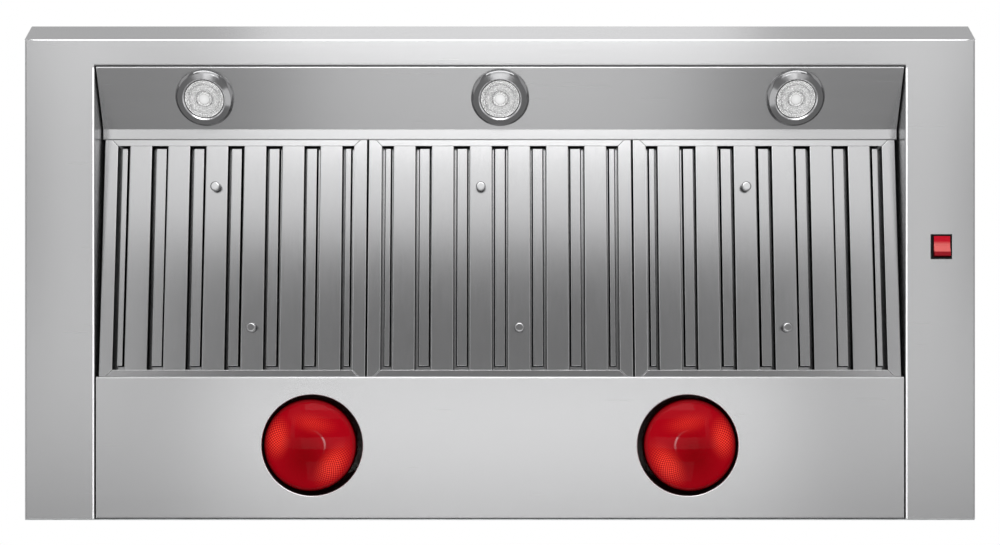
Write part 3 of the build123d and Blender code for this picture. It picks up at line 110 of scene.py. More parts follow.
def rgba(colour, share=1.0):
    """Colour with an opaque fourth value, made lighter or darker by a share."""
    return (colour[0] * share, colour[1] * share, colour[2] * share, 1.0)


def vector_maths(tree, operation, *values):
    """Result of one vector calculation: a number for a length or a dot product, or else a vector."""
    node = add(tree, "VectorMath", dict(enumerate(values)), operation=operation)
    return node.outputs["Value" if operation in ("LENGTH", "DOT_PRODUCT") else "Vector"]


def rest(tree, share):
    """What a share leaves of one."""
    return maths(tree, "SUBTRACT", 1.0, share)


def split_xyz(tree, vector):
    """The three parts of a vector."""
    return add(tree, "SeparateXYZ", {0: vector}).outputs


def link(tree, node, **sources):
    """Feeds sockets of a node, whose names have underscores for their spaces."""
    for label, source in sources.items():
        tree.links.new(source, node.inputs[label.replace("_", " ")])


def noise(tree, place, scale, detail):
    """Grey cloud noise with a count per metre and a detail."""
    return add(tree, "TexNoise", {"Vector": place, "Scale": scale, "Detail": detail}).outputs["Fac"]


def new_group(name, inputs, outputs):
    """Empty node group with named sockets, and its input and output nodes."""
    tree = bpy.data.node_groups.new(name, "ShaderNodeTree")
    kinds = {"float": "NodeSocketFloat", "vector": "NodeSocketVector", "colour": "NodeSocketColor"}
    for label, kind, value in inputs:
        socket = tree.interface.new_socket(name=label, in_out="INPUT", socket_type=kinds[kind])
        if value is not None:
            socket.default_value = value
    for label, kind in outputs:
        tree.interface.new_socket(name=label, in_out="OUTPUT", socket_type=kinds[kind])
    return tree, tree.nodes.new("NodeGroupInput"), tree.nodes.new("NodeGroupOutput")


def build_brushed_grain():
    """Group: long streaks and fine scratches of brushed sheet, with a slow change of tone."""
    inputs = (
        ("Position", "vector", None),
        ("Streaks", "vector", (10.0, 900.0, 900.0)),
        ("Scratches", "vector", (60.0, 4200.0, 4200.0)),
        ("Tone Scale", "float", 3.0),
    )
    outputs = (("Streak", "float"), ("Scratch", "float"), ("Tone", "float"))
    tree, given, made = new_group("Brushed Grain", inputs, outputs)
    place = given.outputs["Position"]
    long = vector_maths(tree, "MULTIPLY", place, given.outputs["Streaks"])
    fine = vector_maths(tree, "MULTIPLY", place, given.outputs["Scratches"])
    tone = noise(tree, place, given.outputs["Tone Scale"], 1.0)
    link(tree, made, Streak=noise(tree, long, 1.0, 2.0), Scratch=noise(tree, fine, 1.0, 1.0), Tone=tone)
    return tree


def build_rounded_edge():
    """Group: rounds hard edges a little and gives a mask of them, which some finishes use for a painted
    highlight on edges.
    """
    inputs = (("Radius", "float", 0.001), ("Sharpness", "float", 6.0))
    outputs = (("Normal", "vector"), ("Edge", "float"))
    tree, given, made = new_group("Rounded Edge", inputs, outputs)
    rounded = add(tree, "Bevel", {"Radius": given.outputs["Radius"]}, samples=4).outputs["Normal"]
    turn = vector_maths(tree, "DOT_PRODUCT", rounded, add(tree, "NewGeometry").outputs["Normal"])
    sockets = {0: rest(tree, turn), 1: given.outputs["Sharpness"]}
    edge = add(tree, "Math", sockets, operation="MULTIPLY", use_clamp=True).outputs[0]
    link(tree, made, Normal=rounded, Edge=edge)
    return tree


CRYSTAL_BEND = (0.006, 0.006, 0.006)
DUST_RANGE = (0.45, 0.8)


def build_spangle():
    """Group: flat crystals of a zinc coat, each with its own tone and shine."""
    inputs = (("Position", "vector", None), ("Crystals", "float", 90.0))
    outputs = (("Crystal", "float"), ("Cloud", "float"))
    tree, given, made = new_group("Zinc Spangle", inputs, outputs)
    place = given.outputs["Position"]
    bend = add(tree, "TexNoise", {"Vector": place, "Scale": 60.0, "Detail": 2.0})
    moved = vector_maths(tree, "MULTIPLY_ADD", bend.outputs["Color"], CRYSTAL_BEND, place)
    cells = add(tree, "TexVoronoi", {"Vector": moved, "Scale": given.outputs["Crystals"]})
    split = add(tree, "SeparateColor", {0: cells.outputs["Color"]})
    link(tree, made, Crystal=split.outputs[0], Cloud=noise(tree, place, 7.0, 3.0))
    return tree


def build_fine_grit():
    """Group: the fine skin of castings, mouldings, enamel and glaze, with faint dust."""
    inputs = (("Position", "vector", None), ("Grit Scale", "float", 1500.0), ("Dust Scale", "float", 25.0))
    outputs = (("Grit", "float"), ("Dust", "float"))
    tree, given, made = new_group("Fine Grit", inputs, outputs)
    place = given.outputs["Position"]
    grit = noise(tree, place, given.outputs["Grit Scale"], 3.0)
    dust = noise(tree, place, given.outputs["Dust Scale"], 6.0)
    link(tree, made, Grit=grit, Dust=ramp(tree, dust, *DUST_RANGE))
    return tree


def build_glass_prisms():
    """Group: rings of small prisms pressed into round glass, about an axis."""
    inputs = (
        ("Position", "vector", None),
        ("Ring Pitch", "float", 0.0022),
        ("Prisms Round", "float", 120.0),
    )
    outputs = (("Prism", "float"), ("Radius", "float"))
    tree, given, made = new_group("Glass Prisms", inputs, outputs)
    x, y, _ = split_xyz(tree, given.outputs["Position"])
    radius = vector_maths(tree, "LENGTH", add(tree, "CombineXYZ", {0: x, 1: y}).outputs[0])
    angle = maths(tree, "ARCTAN2", y, x)
    count = maths(tree, "DIVIDE", radius, given.outputs["Ring Pitch"])
    ring = maths(tree, "SINE", times(tree, count, 2 * math.pi))
    spoke = maths(tree, "SINE", times(tree, angle, given.outputs["Prisms Round"]))
    both = maths(tree, "MULTIPLY_ADD", times(tree, ring, spoke), 0.5, 0.5)
    link(tree, made, Prism=both, Radius=radius)
    return tree


GROUP_BUILDERS = {
    "grain": build_brushed_grain,
    "edge": build_rounded_edge,
    "spangle": build_spangle,
    "grit": build_fine_grit,
    "prisms": build_glass_prisms,
}
GROUPS = {}


def use_group(tree, key, sockets):
    """Outputs of a shared group placed in a material, which builds it the first time."""
    if key not in GROUPS:
        GROUPS[key] = GROUP_BUILDERS[key]()
    return add(tree, "Group", sockets, node_tree=GROUPS[key]).outputs


def new_material(name, **values):
    """Material with its Principled shader set, and the position on the object in metres."""
    material = bpy.data.materials.new(name)
    material.use_nodes = True
    tree = material.node_tree
    shader = tree.nodes["Principled BSDF"]
    for label, value in values.items():
        shader.inputs[label.replace("_", " ")].default_value = value
    place = add(tree, "TexCoord").outputs["Object"]
    return material, tree, shader, place


def dress(material, *names):
    """Gives a material to whole nodes."""
    for name in names:
        node = NODES[name]
        node.data.materials.clear()
        node.data.materials.append(material)


def bump(tree, shader, height, depth, normal=None):
    """Feeds a height into the shader's normal."""
    sockets = {"Height": height, "Distance": depth, "Strength": 1.0}
    if normal is not None:
        sockets["Normal"] = normal
    link(tree, shader, Normal=add(tree, "Bump", sockets).outputs["Normal"])


ACROSS, ALONG = (1.0, 0.0, 0.0), (0.0, 1.0, 0.0)
CHAMFER_REACH, FRONT_FRAME = 0.0220, 0.0331
WELD_PROUD, WELD_DEEP = 0.00002, 0.0006
SIDE_TURN = (0.55, 0.70)
FOLD_TURN, WALL_TURN = (0.03, 0.12), (0.72, 0.78)
LEVEL_TURN = (-0.995, -0.98)
STREAK_SHARE, TONE_SHARE = 0.7, 0.3
STREAK_ROUGHNESS, EDGE_ROUGHNESS, CREVICE_ROUGHNESS = 0.06, 0.12, 0.9
CRYSTAL_SHARE, CLOUD_SHARE, CRYSTAL_ROUGHNESS = 0.6, 0.4, 0.18
ZINC_DARK, ZINC_BRIGHT, ZINC_DEPTH = 0.8, 1.12, 0.0002


def grain_counts(direction, count, stretch):
    """Counts per metre for grain that runs in a direction: few along it, many across it."""
    return tuple(count * (stretch if part else 1.0) for part in direction)


def ground_weld(tree, place, width):
    """Mask along the welded and ground mitres of the canopy's two front corners."""
    outer, inner = weld_ends()
    run = (inner - outer).normalized()
    x, y, z = split_xyz(tree, place)
    across = maths(tree, "ABSOLUTE", x)
    offset = maths(tree, "MULTIPLY_ADD", across, -run.y, outer.x * run.y - outer.y * run.x)
    far = maths(tree, "ABSOLUTE", maths(tree, "MULTIPLY_ADD", y, run.x, offset))
    near = ramp(tree, far, width, 1.5 * width, 1.0, 0.0)
    low = ramp(tree, z, 0.5 * width, width, 1.0, 0.0)
    corner = times(tree, low, maths(tree, "GREATER_THAN", across, inner.x - width))
    return times(tree, near, corner)


def painted_fold_highlight(tree, place):
    """Mask of the folds to the opening's sides and to the front chamfer, where a highlight is painted."""
    turn_x, turn_y, _ = split_xyz(tree, add(tree, "NewGeometry").outputs["Normal"])
    hand = maths(tree, "SIGN", split_xyz(tree, place)[0])
    inward = times(tree, turn_x, times(tree, hand, -1.0))
    most = maths(tree, "MAXIMUM", inward, times(tree, turn_y, -1.0))
    return times(tree, ramp(tree, most, *FOLD_TURN), ramp(tree, most, *WALL_TURN, 1.0, 0.0))


def weld_ends():
    """Outer and inner end of the right front mitre, seen from below."""
    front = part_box("front_panel")
    switch_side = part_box("right_side_panel")
    outer = Vector((switch_side[1][0], front[0][1] + CHAMFER_REACH))
    return outer, Vector((switch_side[0][0], outer.y + FRONT_FRAME))


def brushed_sheet(name, direction, tint, roughness, settings, painted_side_shade=None, weld=False, lean=0.0):
    """Brushed stainless sheet: its grain runs in one direction, and along the depth on side faces.

    A painted side shade darkens the side faces nearly to black, standing in for the shade between the strips
    of a filter.
    Edges carry a painted highlight, and so do the folds when there is a weld. A weld hides the
    front mitres, and a lean tips the shine of faces that look straight down towards the front.
    """
    material, tree, shader, place = new_material(name, Anisotropic=settings.anisotropy, Metallic=1.0)
    normal = add(tree, "NewGeometry").outputs["True Normal"]
    turn = split_xyz(tree, normal)
    sides = ramp(tree, maths(tree, "ABSOLUTE", turn[0]), *SIDE_TURN)
    scales = []
    for count in (settings.streak_count, settings.scratch_count):
        pair = [grain_counts(way, count, settings.grain_stretch) for way in (direction, ALONG)]
        scales.append(blend(tree, sides, *pair, "VECTOR"))
    grain = use_group(tree, "grain", {"Position": place, "Streaks": scales[0], "Scratches": scales[1]})
    edge_settings = {"Radius": settings.edge_rounding, "Sharpness": settings.edge_sharpness}
    rounded, edge = use_group(tree, "edge", edge_settings)
    if weld:
        ground = ground_weld(tree, place, settings.weld_width)
        # Painted highlight: the folds join the edges whose tone is lifted.
        edge = maths(tree, "MAXIMUM", edge, painted_fold_highlight(tree, place))
        edge = times(tree, edge, rest(tree, ground))
        rounded = blend(tree, ground, rounded, normal, "VECTOR")
    if lean:
        down = ramp(tree, turn[2], *LEVEL_TURN, 1.0, 0.0)
        tipped = vector_maths(tree, "ADD", rounded, vector_maths(tree, "MULTIPLY", down, (0.0, -lean, 0.0)))
        rounded = vector_maths(tree, "NORMALIZE", tipped)
    spread = times(tree, grain["Streak"], STREAK_SHARE)
    shade = maths(tree, "MULTIPLY_ADD", grain["Tone"], TONE_SHARE, spread)
    steel = blend(tree, shade, rgba(tint, 1 - settings.tone_change), rgba(tint, 1 + settings.tone_change))
    # Painted highlight: edges, and folds where marked, are lifted to a tone above the sheet's own.
    shown = blend(tree, edge, steel, rgba(tint, settings.painted_edge_highlight))
    even = roughness - STREAK_ROUGHNESS / 2
    rough = maths(tree, "MULTIPLY_ADD", grain["Streak"], STREAK_ROUGHNESS, even)
    rough = maths(tree, "MULTIPLY_ADD", edge, EDGE_ROUGHNESS, rough)
    # Painted shade: side faces, as between the filter strips, turn nearly black, lose their metal shine and
    # grow rough.
    if painted_side_shade is not None:
        shader.inputs["Specular IOR Level"].default_value = 0.0
        shown = blend(tree, sides, shown, rgba(tint, painted_side_shade))
        rough = ramp(tree, sides, 0.0, 1.0, rough, CREVICE_ROUGHNESS)
        link(tree, shader, Metallic=rest(tree, sides))
    way = blend(tree, sides, direction, ALONG, "VECTOR")
    tangent = vector_maths(tree, "CROSS_PRODUCT", normal, way)
    link(tree, shader, Base_Color=shown, Roughness=rough, Tangent=tangent)
    bump(tree, shader, grain["Scratch"], settings.scratch_depth, rounded)
    return material


def zinc_sheet(name, tint, roughness, settings):
    """Galvanised sheet with faint crystals."""
    material, tree, shader, place = new_material(name, Metallic=1.0)
    crystal, cloud = use_group(tree, "spangle", {"Position": place})
    rounded, _ = use_group(tree, "edge", {"Radius": settings.edge_rounding})
    shade = maths(tree, "MULTIPLY_ADD", cloud, CLOUD_SHARE, times(tree, crystal, CRYSTAL_SHARE))
    zinc = blend(tree, shade, rgba(tint, ZINC_DARK), rgba(tint, ZINC_BRIGHT))
    even = roughness - CRYSTAL_ROUGHNESS / 2
    rough = maths(tree, "MULTIPLY_ADD", crystal, CRYSTAL_ROUGHNESS, even)
    link(tree, shader, Base_Color=zinc, Roughness=rough)
    bump(tree, shader, cloud, ZINC_DEPTH, rounded)
    return material


TURNED_EDGE, TURNED_GRIT, TURNED_DEPTH = 0.0004, 900.0, 0.00001
MOULDED_EDGE, MOULDED_DEPTH = 0.0005, 0.00006
DUST_TINT = (0.32, 0.31, 0.29, 1.0)


def turned_metal(name, tint, roughness):
    """Turned, plated or polished metal with hairline marks."""
    material, tree, shader, place = new_material(name, Metallic=1.0)
    grit, dust = use_group(tree, "grit", {"Position": place, "Grit Scale": TURNED_GRIT})
    rounded, _ = use_group(tree, "edge", {"Radius": TURNED_EDGE})
    tone = blend(tree, grit, rgba(tint, 0.94), rgba(tint, 1.04))
    dusty = blend(tree, times(tree, dust, 0.12), tone, rgba(tint, 0.7))
    link(tree, shader, Base_Color=dusty, Roughness=maths(tree, "MULTIPLY_ADD", dust, 0.1, roughness))
    bump(tree, shader, grit, TURNED_DEPTH, rounded)
    return material


def moulded(name, tint, roughness, coat=0.0, metallic=0.0, dusty=0.25):
    """Moulded plastic, enamel, glaze or a casting: fine skin, soft edges with a painted highlight, and a
    little dust.
    """
    looks = {"Metallic": metallic, "Coat_Weight": coat, "Coat_Roughness": 0.08}
    material, tree, shader, place = new_material(name, **looks)
    grit, dust = use_group(tree, "grit", {"Position": place})
    rounded, edge = use_group(tree, "edge", {"Radius": MOULDED_EDGE})
    tone = blend(tree, grit, rgba(tint, 0.85), rgba(tint, 1.12))
    # Painted highlight: edges are lifted towards a brighter copy of the colour.
    edge_highlit = blend(tree, times(tree, edge, 0.3), tone, rgba(tint, 1.5))
    shown = blend(tree, times(tree, dust, dusty), edge_highlit, DUST_TINT)
    link(tree, shader, Base_Color=shown, Roughness=maths(tree, "MULTIPLY_ADD", dust, 0.2, roughness))
    bump(tree, shader, grit, MOULDED_DEPTH, rounded)
    return material


MANY = 100000.0


def colour(name, description, default):
    """Colour setting."""
    return FloatVectorProperty(
        name=name, description=description, subtype="COLOR", default=default, min=0.0, max=1.0,
    )


def number(name, description, default, most=1.0):
    """Plain number from nothing to a most."""
    return FloatProperty(name=name, description=description, default=default, min=0.0, max=most)


def length(name, description, default):
    """Length setting in metres."""
    return FloatProperty(
        name=name, description=description, default=default, min=0.0, precision=5,
        subtype="DISTANCE", unit="LENGTH",
    )


class SteelSettings(bpy.types.PropertyGroup):
    """Look of the stainless and zinc coated sheet."""

    sheet_colour: colour("Canopy steel", "Colour of the brushed canopy sheet", (0.36, 0.36, 0.364))
    filter_colour: colour("Filter steel", "Colour of the rolled filter sheet", (0.324, 0.324, 0.328))
    zinc_colour: colour("Zinc", "Colour of the galvanised sheet", (0.46, 0.475, 0.48))
    # The wells' zinc is much darker than the other zinc.
    well_colour: colour("Lamp well zinc", "Colour of the heat darkened wells", (0.12, 0.115, 0.11))
    sheet_roughness: number("Canopy roughness", "Roughness of the brushed sheet", 0.26)
    filter_roughness: number("Filter roughness", "Roughness of the filter sheet", 0.20)
    anisotropy: number("Grain shine", "How far the grain spreads a reflection", 0.6)
    # Painted shade between the filter strips, as a share of the sheet's colour.
    crevice_painted_shade: number("Crevice tone", "Tone between the filter strips as a share of the sheet", 0.01)
    streak_count: number("Streaks", "Broad streaks per metre across the grain", 420.0, MANY)
    scratch_count: number("Scratches", "Fine scratches per metre across the grain", 5200.0, MANY)
    grain_stretch: number("Grain stretch", "Count along the grain as a share of that across", 0.012)
    scratch_depth: length("Scratch depth", "Depth of a fine scratch", 0.00001)
    tone_change: number("Tone change", "Change of tone between streaks", 0.045)
    edge_rounding: length("Edge rounding", "Radius of a folded or cut edge", 0.0011)
    edge_sharpness: number("Edge sharpness", "How soon a turn counts as an edge", 22.0, MANY)
    # Tone of the painted highlight on edges and folds, as a share of the sheet's colour.
    painted_edge_highlight: number("Edge shine", "Tone of a polished edge as a share of the sheet", 2.6, MANY)
    weld_width: length("Weld width", "Half width of a ground mitre weld", 0.0025)
    ledge_lean: number("Ledge lean", "How far the light panel's ledge tips forward", 0.06)


class LampSettings(bpy.types.PropertyGroup):
    """Look of the heat lamps, their switch and the lights."""

    ruby_deep: colour("Deep ruby", "Darkest red of the heat lamp glass", (0.19, 0.0002, 0.0022))
    ruby_bright: colour("Bright ruby", "General red of the heat lamp glass", (0.32, 0.001, 0.006))
    # Red of the painted reflections of the silvered bowl.
    ruby_painted_glow: colour("Ruby glow", "Red where the silvered bowl shines through", (0.82, 0.046, 0.026))
    # Strength of the painted glow of the glass.
    ruby_painted_light: number("Ruby light", "Light given back by the silvered bowl", 0.08)
    ruby_coat: number("Ruby gloss", "Gloss of the glass inside its rim", 0.03)
    ridge_place: number("Ridge place", "Radius of the pressed ridge as a share of the lamp", 0.34)
    ridge_height: length("Ridge height", "Height of the pressed ridge", 0.00012)
    rocker_colour: colour("Rocker red", "Red of the heat lamp rocker", (0.43, 0.0015, 0.013))
    # Paler red of the painted highlight on the rocker's middle.
    rocker_painted_highlight: colour("Rocker highlight", "Paler red where fingers rub the rocker", (0.62, 0.075, 0.065))
    chrome_colour: colour("Trim chrome", "Colour of the light trims", (0.25, 0.25, 0.254))
    chrome_roughness: number("Trim roughness", "Roughness of the light trims", 0.09)
    # The lip's chrome is a brighter copy of the trim's, a painted highlight ring round each lens.
    lip_highlight_colour: colour("Lens lip", "Colour of the polished lip round each lens", (0.64, 0.64, 0.65))
    lens_clear: number("Lens clearness", "Share of light that passes the lens", 0.3)
    # Strength of the painted glow of the lens.
    lens_painted_glow: number("Lens light", "Light given back by the lens's bowl", 0.33)


class TrimSettings(bpy.types.PropertyGroup):
    """Sizes of the turned trim of a light."""

    rim_radius: length("Rim radius", "Outer radius of the trim", 0.0374)
    band_inner: length("Band radius", "Radius where the rounded band meets the face", 0.0343)
    lip_radius: length("Lip radius", "Outer radius of the lens lip", 0.0276)
    lip_proud: length("Lip height", "How far the lip stands out from the panel", 0.0086)
    lip_chamfer: length("Lip chamfer", "Chamfer towards the lens", 0.0016)
    seat: length("Seat", "Gap between the trim and the panel", 0.0003)
    spigot_radius: length("Spigot radius", "Outer radius of the spigot in the panel", 0.0318)
    spigot_reach: length("Spigot reach", "Length of the spigot behind the panel", 0.009)
    wall: length("Spigot wall", "Wall of the spigot", 0.0016)
    step_depth: length("Step depth", "Height of the step above the lens flange", 0.0019)
    flange_radius: length("Flange radius", "Radius of the recess for the lens flange", 0.0283)
    shelf_depth: length("Shelf depth", "Height of the shelf under the lens flange", 0.0052)
    lens_front: length("Lens front", "How far the lens's face stands out from the panel", 0.0071)
    band_steep: number("Rim tilt", "Tilt of the band at the rim in degrees", 50.5, 90.0)
    band_flat: number("Band tilt", "Tilt of the band at the face in degrees", 43.0, 90.0)
    face_tilt: number("Face tilt", "Tilt of the face in degrees", 10.0, 90.0)
    band_steps: IntProperty(name="Band steps", description="Steps across the rounded band", default=10, min=2)
    turn_steps: IntProperty(name="Turn steps", description="Steps round the trim", default=128, min=12)


class ScrewSettings(bpy.types.PropertyGroup):
    """Sizes of the pan head screws."""

    head_radius: length("Head radius", "Radius of the pan head", 0.0040)
    head_height: length("Head height", "Height of the pan head", 0.0024)
    slot_half: length("Recess half width", "Half width of the cross recess", 0.00055)
    slot_reach: length("Recess reach", "Reach of each arm of the recess", 0.0023)
    slot_depth: length("Recess depth", "Depth of the cross recess", 0.0012)
    shank_radius: length("Shank radius", "Outer radius of the thread", 0.0019)
    shank_length: length("Shank length", "Length under the head", 0.0070)
    thread_pitch: length("Thread pitch", "Rise of the thread in one turn", 0.0013)
    thread_depth: length("Thread depth", "Depth of the thread", 0.0004)
    head_rings: IntProperty(name="Head rings", description="Rings across the head", default=14, min=3)
    turn_steps: IntProperty(name="Turn steps", description="Steps round the screw", default=48, min=8)


class StudioSettings(bpy.types.PropertyGroup):
    """Camera, floor and light."""

    camera_place: FloatVectorProperty(
        name="Camera", description="Where the camera stands", subtype="TRANSLATION", unit="LENGTH",
        default=(0.0, -0.3169, -1.850),
    )
    camera_lens: number("Lens", "Focal length in millimetres", 52.02, 500.0)
    floor_level: FloatProperty(
        name="Floor level", description="Height of the floor", subtype="DISTANCE", unit="LENGTH",
        default=-1.98,
    )
    floor_size: length("Floor size", "Width of the floor", 9.0)
    floor_colour: colour("Floor colour", "Colour of the floor", (0.74, 0.74, 0.74))
    overhead_power: number("Overhead light", "Power in watts", 100.0, MANY)
    front_glow: number("Front softbox", "Brightness at its edge", 1.45, MANY)
    front_core: number("Front middle", "Brightness added inside", 4.05, MANY)
    strip_glow: number("Front strip", "Brightness of the strip that the trims show", 4.2, MANY)
    rear_glow: number("Rear softbox", "Brightness at its ends", 1.21, MANY)
    rear_core: number("Rear middle", "Brightness added inside", 1.36, MANY)
    far_glow: number("Far softbox", "Brightness", 1.24, MANY)
    side_glow: number("Side softboxes", "Brightness", 1.74, MANY)
    key_glow: number("Key softbox", "Brightness of the one above the front", 0.95, MANY)
    sky_level: number("Sky level", "Light from all round", 0.46, MANY)


WELD_HALF, WELD_START, WELD_END = 0.6, 0.5, 0.2


def make_weld(side, material, width):
    """Ground weld that closes the hairline of one front mitre, a hair proud of the sheet."""
    outer, inner = weld_ends()
    run = (inner - outer).normalized()
    half = Vector((-run.y, run.x)) * width * WELD_HALF
    hand = -1 if side == "left" else 1
    ends = (outer + run * width * WELD_START, inner - run * width * WELD_END)
    flat = [ends[0] + half, ends[1] + half, ends[1] - half, ends[0] - half]
    form = bmesh.new()
    rows = [[(hand * point.x, point.y, -level) for point in flat] for level in (WELD_PROUD, -WELD_DEEP)]
    add_grid(form, rows)
    bmesh.ops.recalc_face_normals(form, faces=form.faces)
    make_piece(f"corner_weld_{side}", form, "hood", (material,))


class FinishCanopy(bpy.types.Operator):
    """Brushed stainless canopy panels, with the grain along each sheet"""

    bl_idname = "hood.finish_canopy"
    bl_label = "Finish canopy"

    def execute(self, context):
        """Dresses the outer panels, the light panel and the heat lamp panel."""
        steel = context.scene.hood_steel
        look = (ACROSS, steel.sheet_colour, steel.sheet_roughness, steel)
        frame_steel = brushed_sheet("Frame Steel", *look, weld=True)
        dress(frame_steel, "front_panel", "left_side_panel", "right_side_panel")
        for side in LAMP_SIDES:
            make_weld(side, frame_steel, steel.weld_width)
        dress(brushed_sheet("Canopy Steel", *look), "top_panel", "heat_lamp_panel")
        dress(brushed_sheet("Light Panel Steel", *look, lean=steel.ledge_lean), "light_panel")
        dress(zinc_sheet("Back Zinc", steel.zinc_colour, 0.42, steel), "back_panel")
        return {"FINISHED"}


class FinishFilters(bpy.types.Operator):
    """Rolled stainless baffle filters and their polished knobs"""

    bl_idname = "hood.finish_filters"
    bl_label = "Finish filters"

    def execute(self, context):
        """Dresses the frames, the pressed troughs and the knobs."""
        steel = context.scene.hood_steel
        look = (steel.filter_colour, steel.filter_roughness, steel)
        # The filter sheet carries painted shade on the side faces between its strips.
        sheet = brushed_sheet("Filter Steel", ALONG, *look, painted_side_shade=steel.crevice_painted_shade)
        knob = turned_metal("Polished Steel", (0.38, 0.38, 0.385), 0.10)
        for side in SIDES:
            dress(sheet, f"filter_frame_{side}", f"lower_baffles_{side}", f"upper_baffles_{side}")
            dress(knob, f"filter_knobs_{side}")
        return {"FINISHED"}


def lens_frame(side):
    """Middle of a lens's front face, and the tilt of its axis about X."""
    mesh = NODES[f"led_lens_{side}"].data
    axis = max(mesh.polygons, key=lambda face: face.area).normal.copy()
    if axis.z < 0:
        axis.negate()
    lowest = min(corner.co.dot(axis) for corner in mesh.vertices)
    front = [corner.co for corner in mesh.vertices if corner.co.dot(axis) < lowest + 0.0001]
    return sum(front, Vector()) / len(front), math.atan2(-axis.y, axis.z)


def tone_rings(tree, radius, stops, reach):
    """Grey that changes with the radius, given as radius in millimetres and tone."""
    share = maths(tree, "DIVIDE", radius, reach)
    node = add(tree, "ValToRGB", {0: share})
    marks = node.color_ramp.elements
    for index, (millimetres, tone) in enumerate(stops):
        spot = millimetres / 1000 / reach
        mark = marks[index] if index < 2 else marks.new(spot)
        mark.position = spot
        mark.color = (tone, tone, tone, 1.0)
    return node.outputs["Color"]


LENS_REACH = 0.030
# Painted light and dark rings of the lens, as radius in millimetres and tone, standing in for how it refracts
# and reflects the lights.
LENS_PAINTED_RINGS = (
    (0.0, 0.70), (30.0, 0.9), (6.2, 0.60), (6.9, 0.42), (7.6, 0.95), (8.6, 0.80), (9.6, 0.55),
    (10.5, 0.28), (11.6, 0.80), (15.0, 0.90), (19.0, 0.80), (19.7, 0.30), (20.4, 0.86), (21.6, 0.5),
    (22.4, 0.86), (23.4, 0.4), (23.9, 1.0), (24.5, 1.0), (24.8, 0.02),
)
PRISM_PITCH, PRISMS_ROUND, PRISM_DEPTH = 0.0024, 44.0, 0.00015
PRISM_START, PRISM_END, PLAIN_END = (0.0108, 0.0114), (0.0192, 0.0196), (0.0060, 0.0075)
FACET_RANGE, FLECK_RANGE, FLECK_SCALE = (0.35, 0.65, 0.4, 1.0), (0.42, 0.6, 0.55, 0.0), 620.0
BLACK = (0.0, 0.0, 0.0, 1.0)


def lens_glass(side, lamps):
    """Pressed lens: plain middle and a ring of small prisms, with painted light and dark rings, painted dark
    facets and flecks, a painted bright outer band and a painted glow of the bowl behind it.
    """
    centre, tilt = lens_frame(side)
    material, tree, shader, place = new_material(
        f"Pressed Lens {side.title()}", Roughness=0.10, IOR=1.49, Transmission_Weight=lamps.lens_clear,
        Emission_Strength=lamps.lens_painted_glow,
    )
    local = vector_maths(tree, "SUBTRACT", place, tuple(centre))
    sockets = {"Vector": local, "Angle": -tilt}
    level = add(tree, "VectorRotate", sockets, rotation_type="X_AXIS").outputs[0]
    pressing = {"Position": level, "Ring Pitch": PRISM_PITCH, "Prisms Round": PRISMS_ROUND}
    prism, radius = use_group(tree, "prisms", pressing)
    outside = ramp(tree, radius, *PRISM_END)
    ringed = times(tree, ramp(tree, radius, *PRISM_START), rest(tree, outside))
    cut = times(tree, ringed, rest(tree, ramp(tree, prism, *FACET_RANGE)))
    # Painted reflections: grey rings by radius. Painted shade: dark prism facets and dark noise flecks
    # outside the plain middle.
    tone = tone_rings(tree, radius, LENS_PAINTED_RINGS, LENS_REACH)
    fleck = noise(tree, level, FLECK_SCALE, 1.0)
    flecked = times(tree, ramp(tree, fleck, *FLECK_RANGE), ramp(tree, radius, *PLAIN_END))
    shown = blend(tree, maths(tree, "MAXIMUM", cut, flecked), tone, BLACK)
    # The painted tones also glow, a painted light standing in for the lit bowl seen through the lens.
    link(tree, shader, Base_Color=shown, Emission_Color=shown)
    bump(tree, shader, times(tree, prism, ringed), PRISM_DEPTH)
    return material


def lathe(profile, steps, matrix):
    """Mesh turned from a closed profile of radius and height points, placed by a matrix."""
    turned = bmesh.new()
    rings = []
    for step in range(steps):
        angle = 2 * math.pi * step / steps
        way = Vector((math.cos(angle), math.sin(angle), 0.0))
        rings.append([turned.verts.new(matrix @ (way * r + Vector((0.0, 0.0, z)))) for r, z in profile])
    for step in range(steps):
        here, there = rings[step], rings[(step + 1) % steps]
        for index in range(len(profile)):
            after = (index + 1) % len(profile)
            turned.faces.new((here[index], there[index], there[after], here[after]))
    bmesh.ops.recalc_face_normals(turned, faces=turned.faces)
    return turned


SHARP = math.radians(28)


def make_piece(name, form, body, materials):
    """Object from a bmesh that rides on a body, smooth but for its sharp edges."""
    for edge in form.edges:
        edge.smooth = edge.calc_face_angle(0.0) < SHARP
    for face in form.faces:
        face.smooth = True
    mesh = bpy.data.meshes.new(name)
    form.to_mesh(mesh)
    form.free()
    for material in materials:
        mesh.materials.append(material)
    piece = bpy.data.objects.new(name, mesh)
    bpy.context.scene.collection.objects.link(piece)
    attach(piece, body)
    return piece


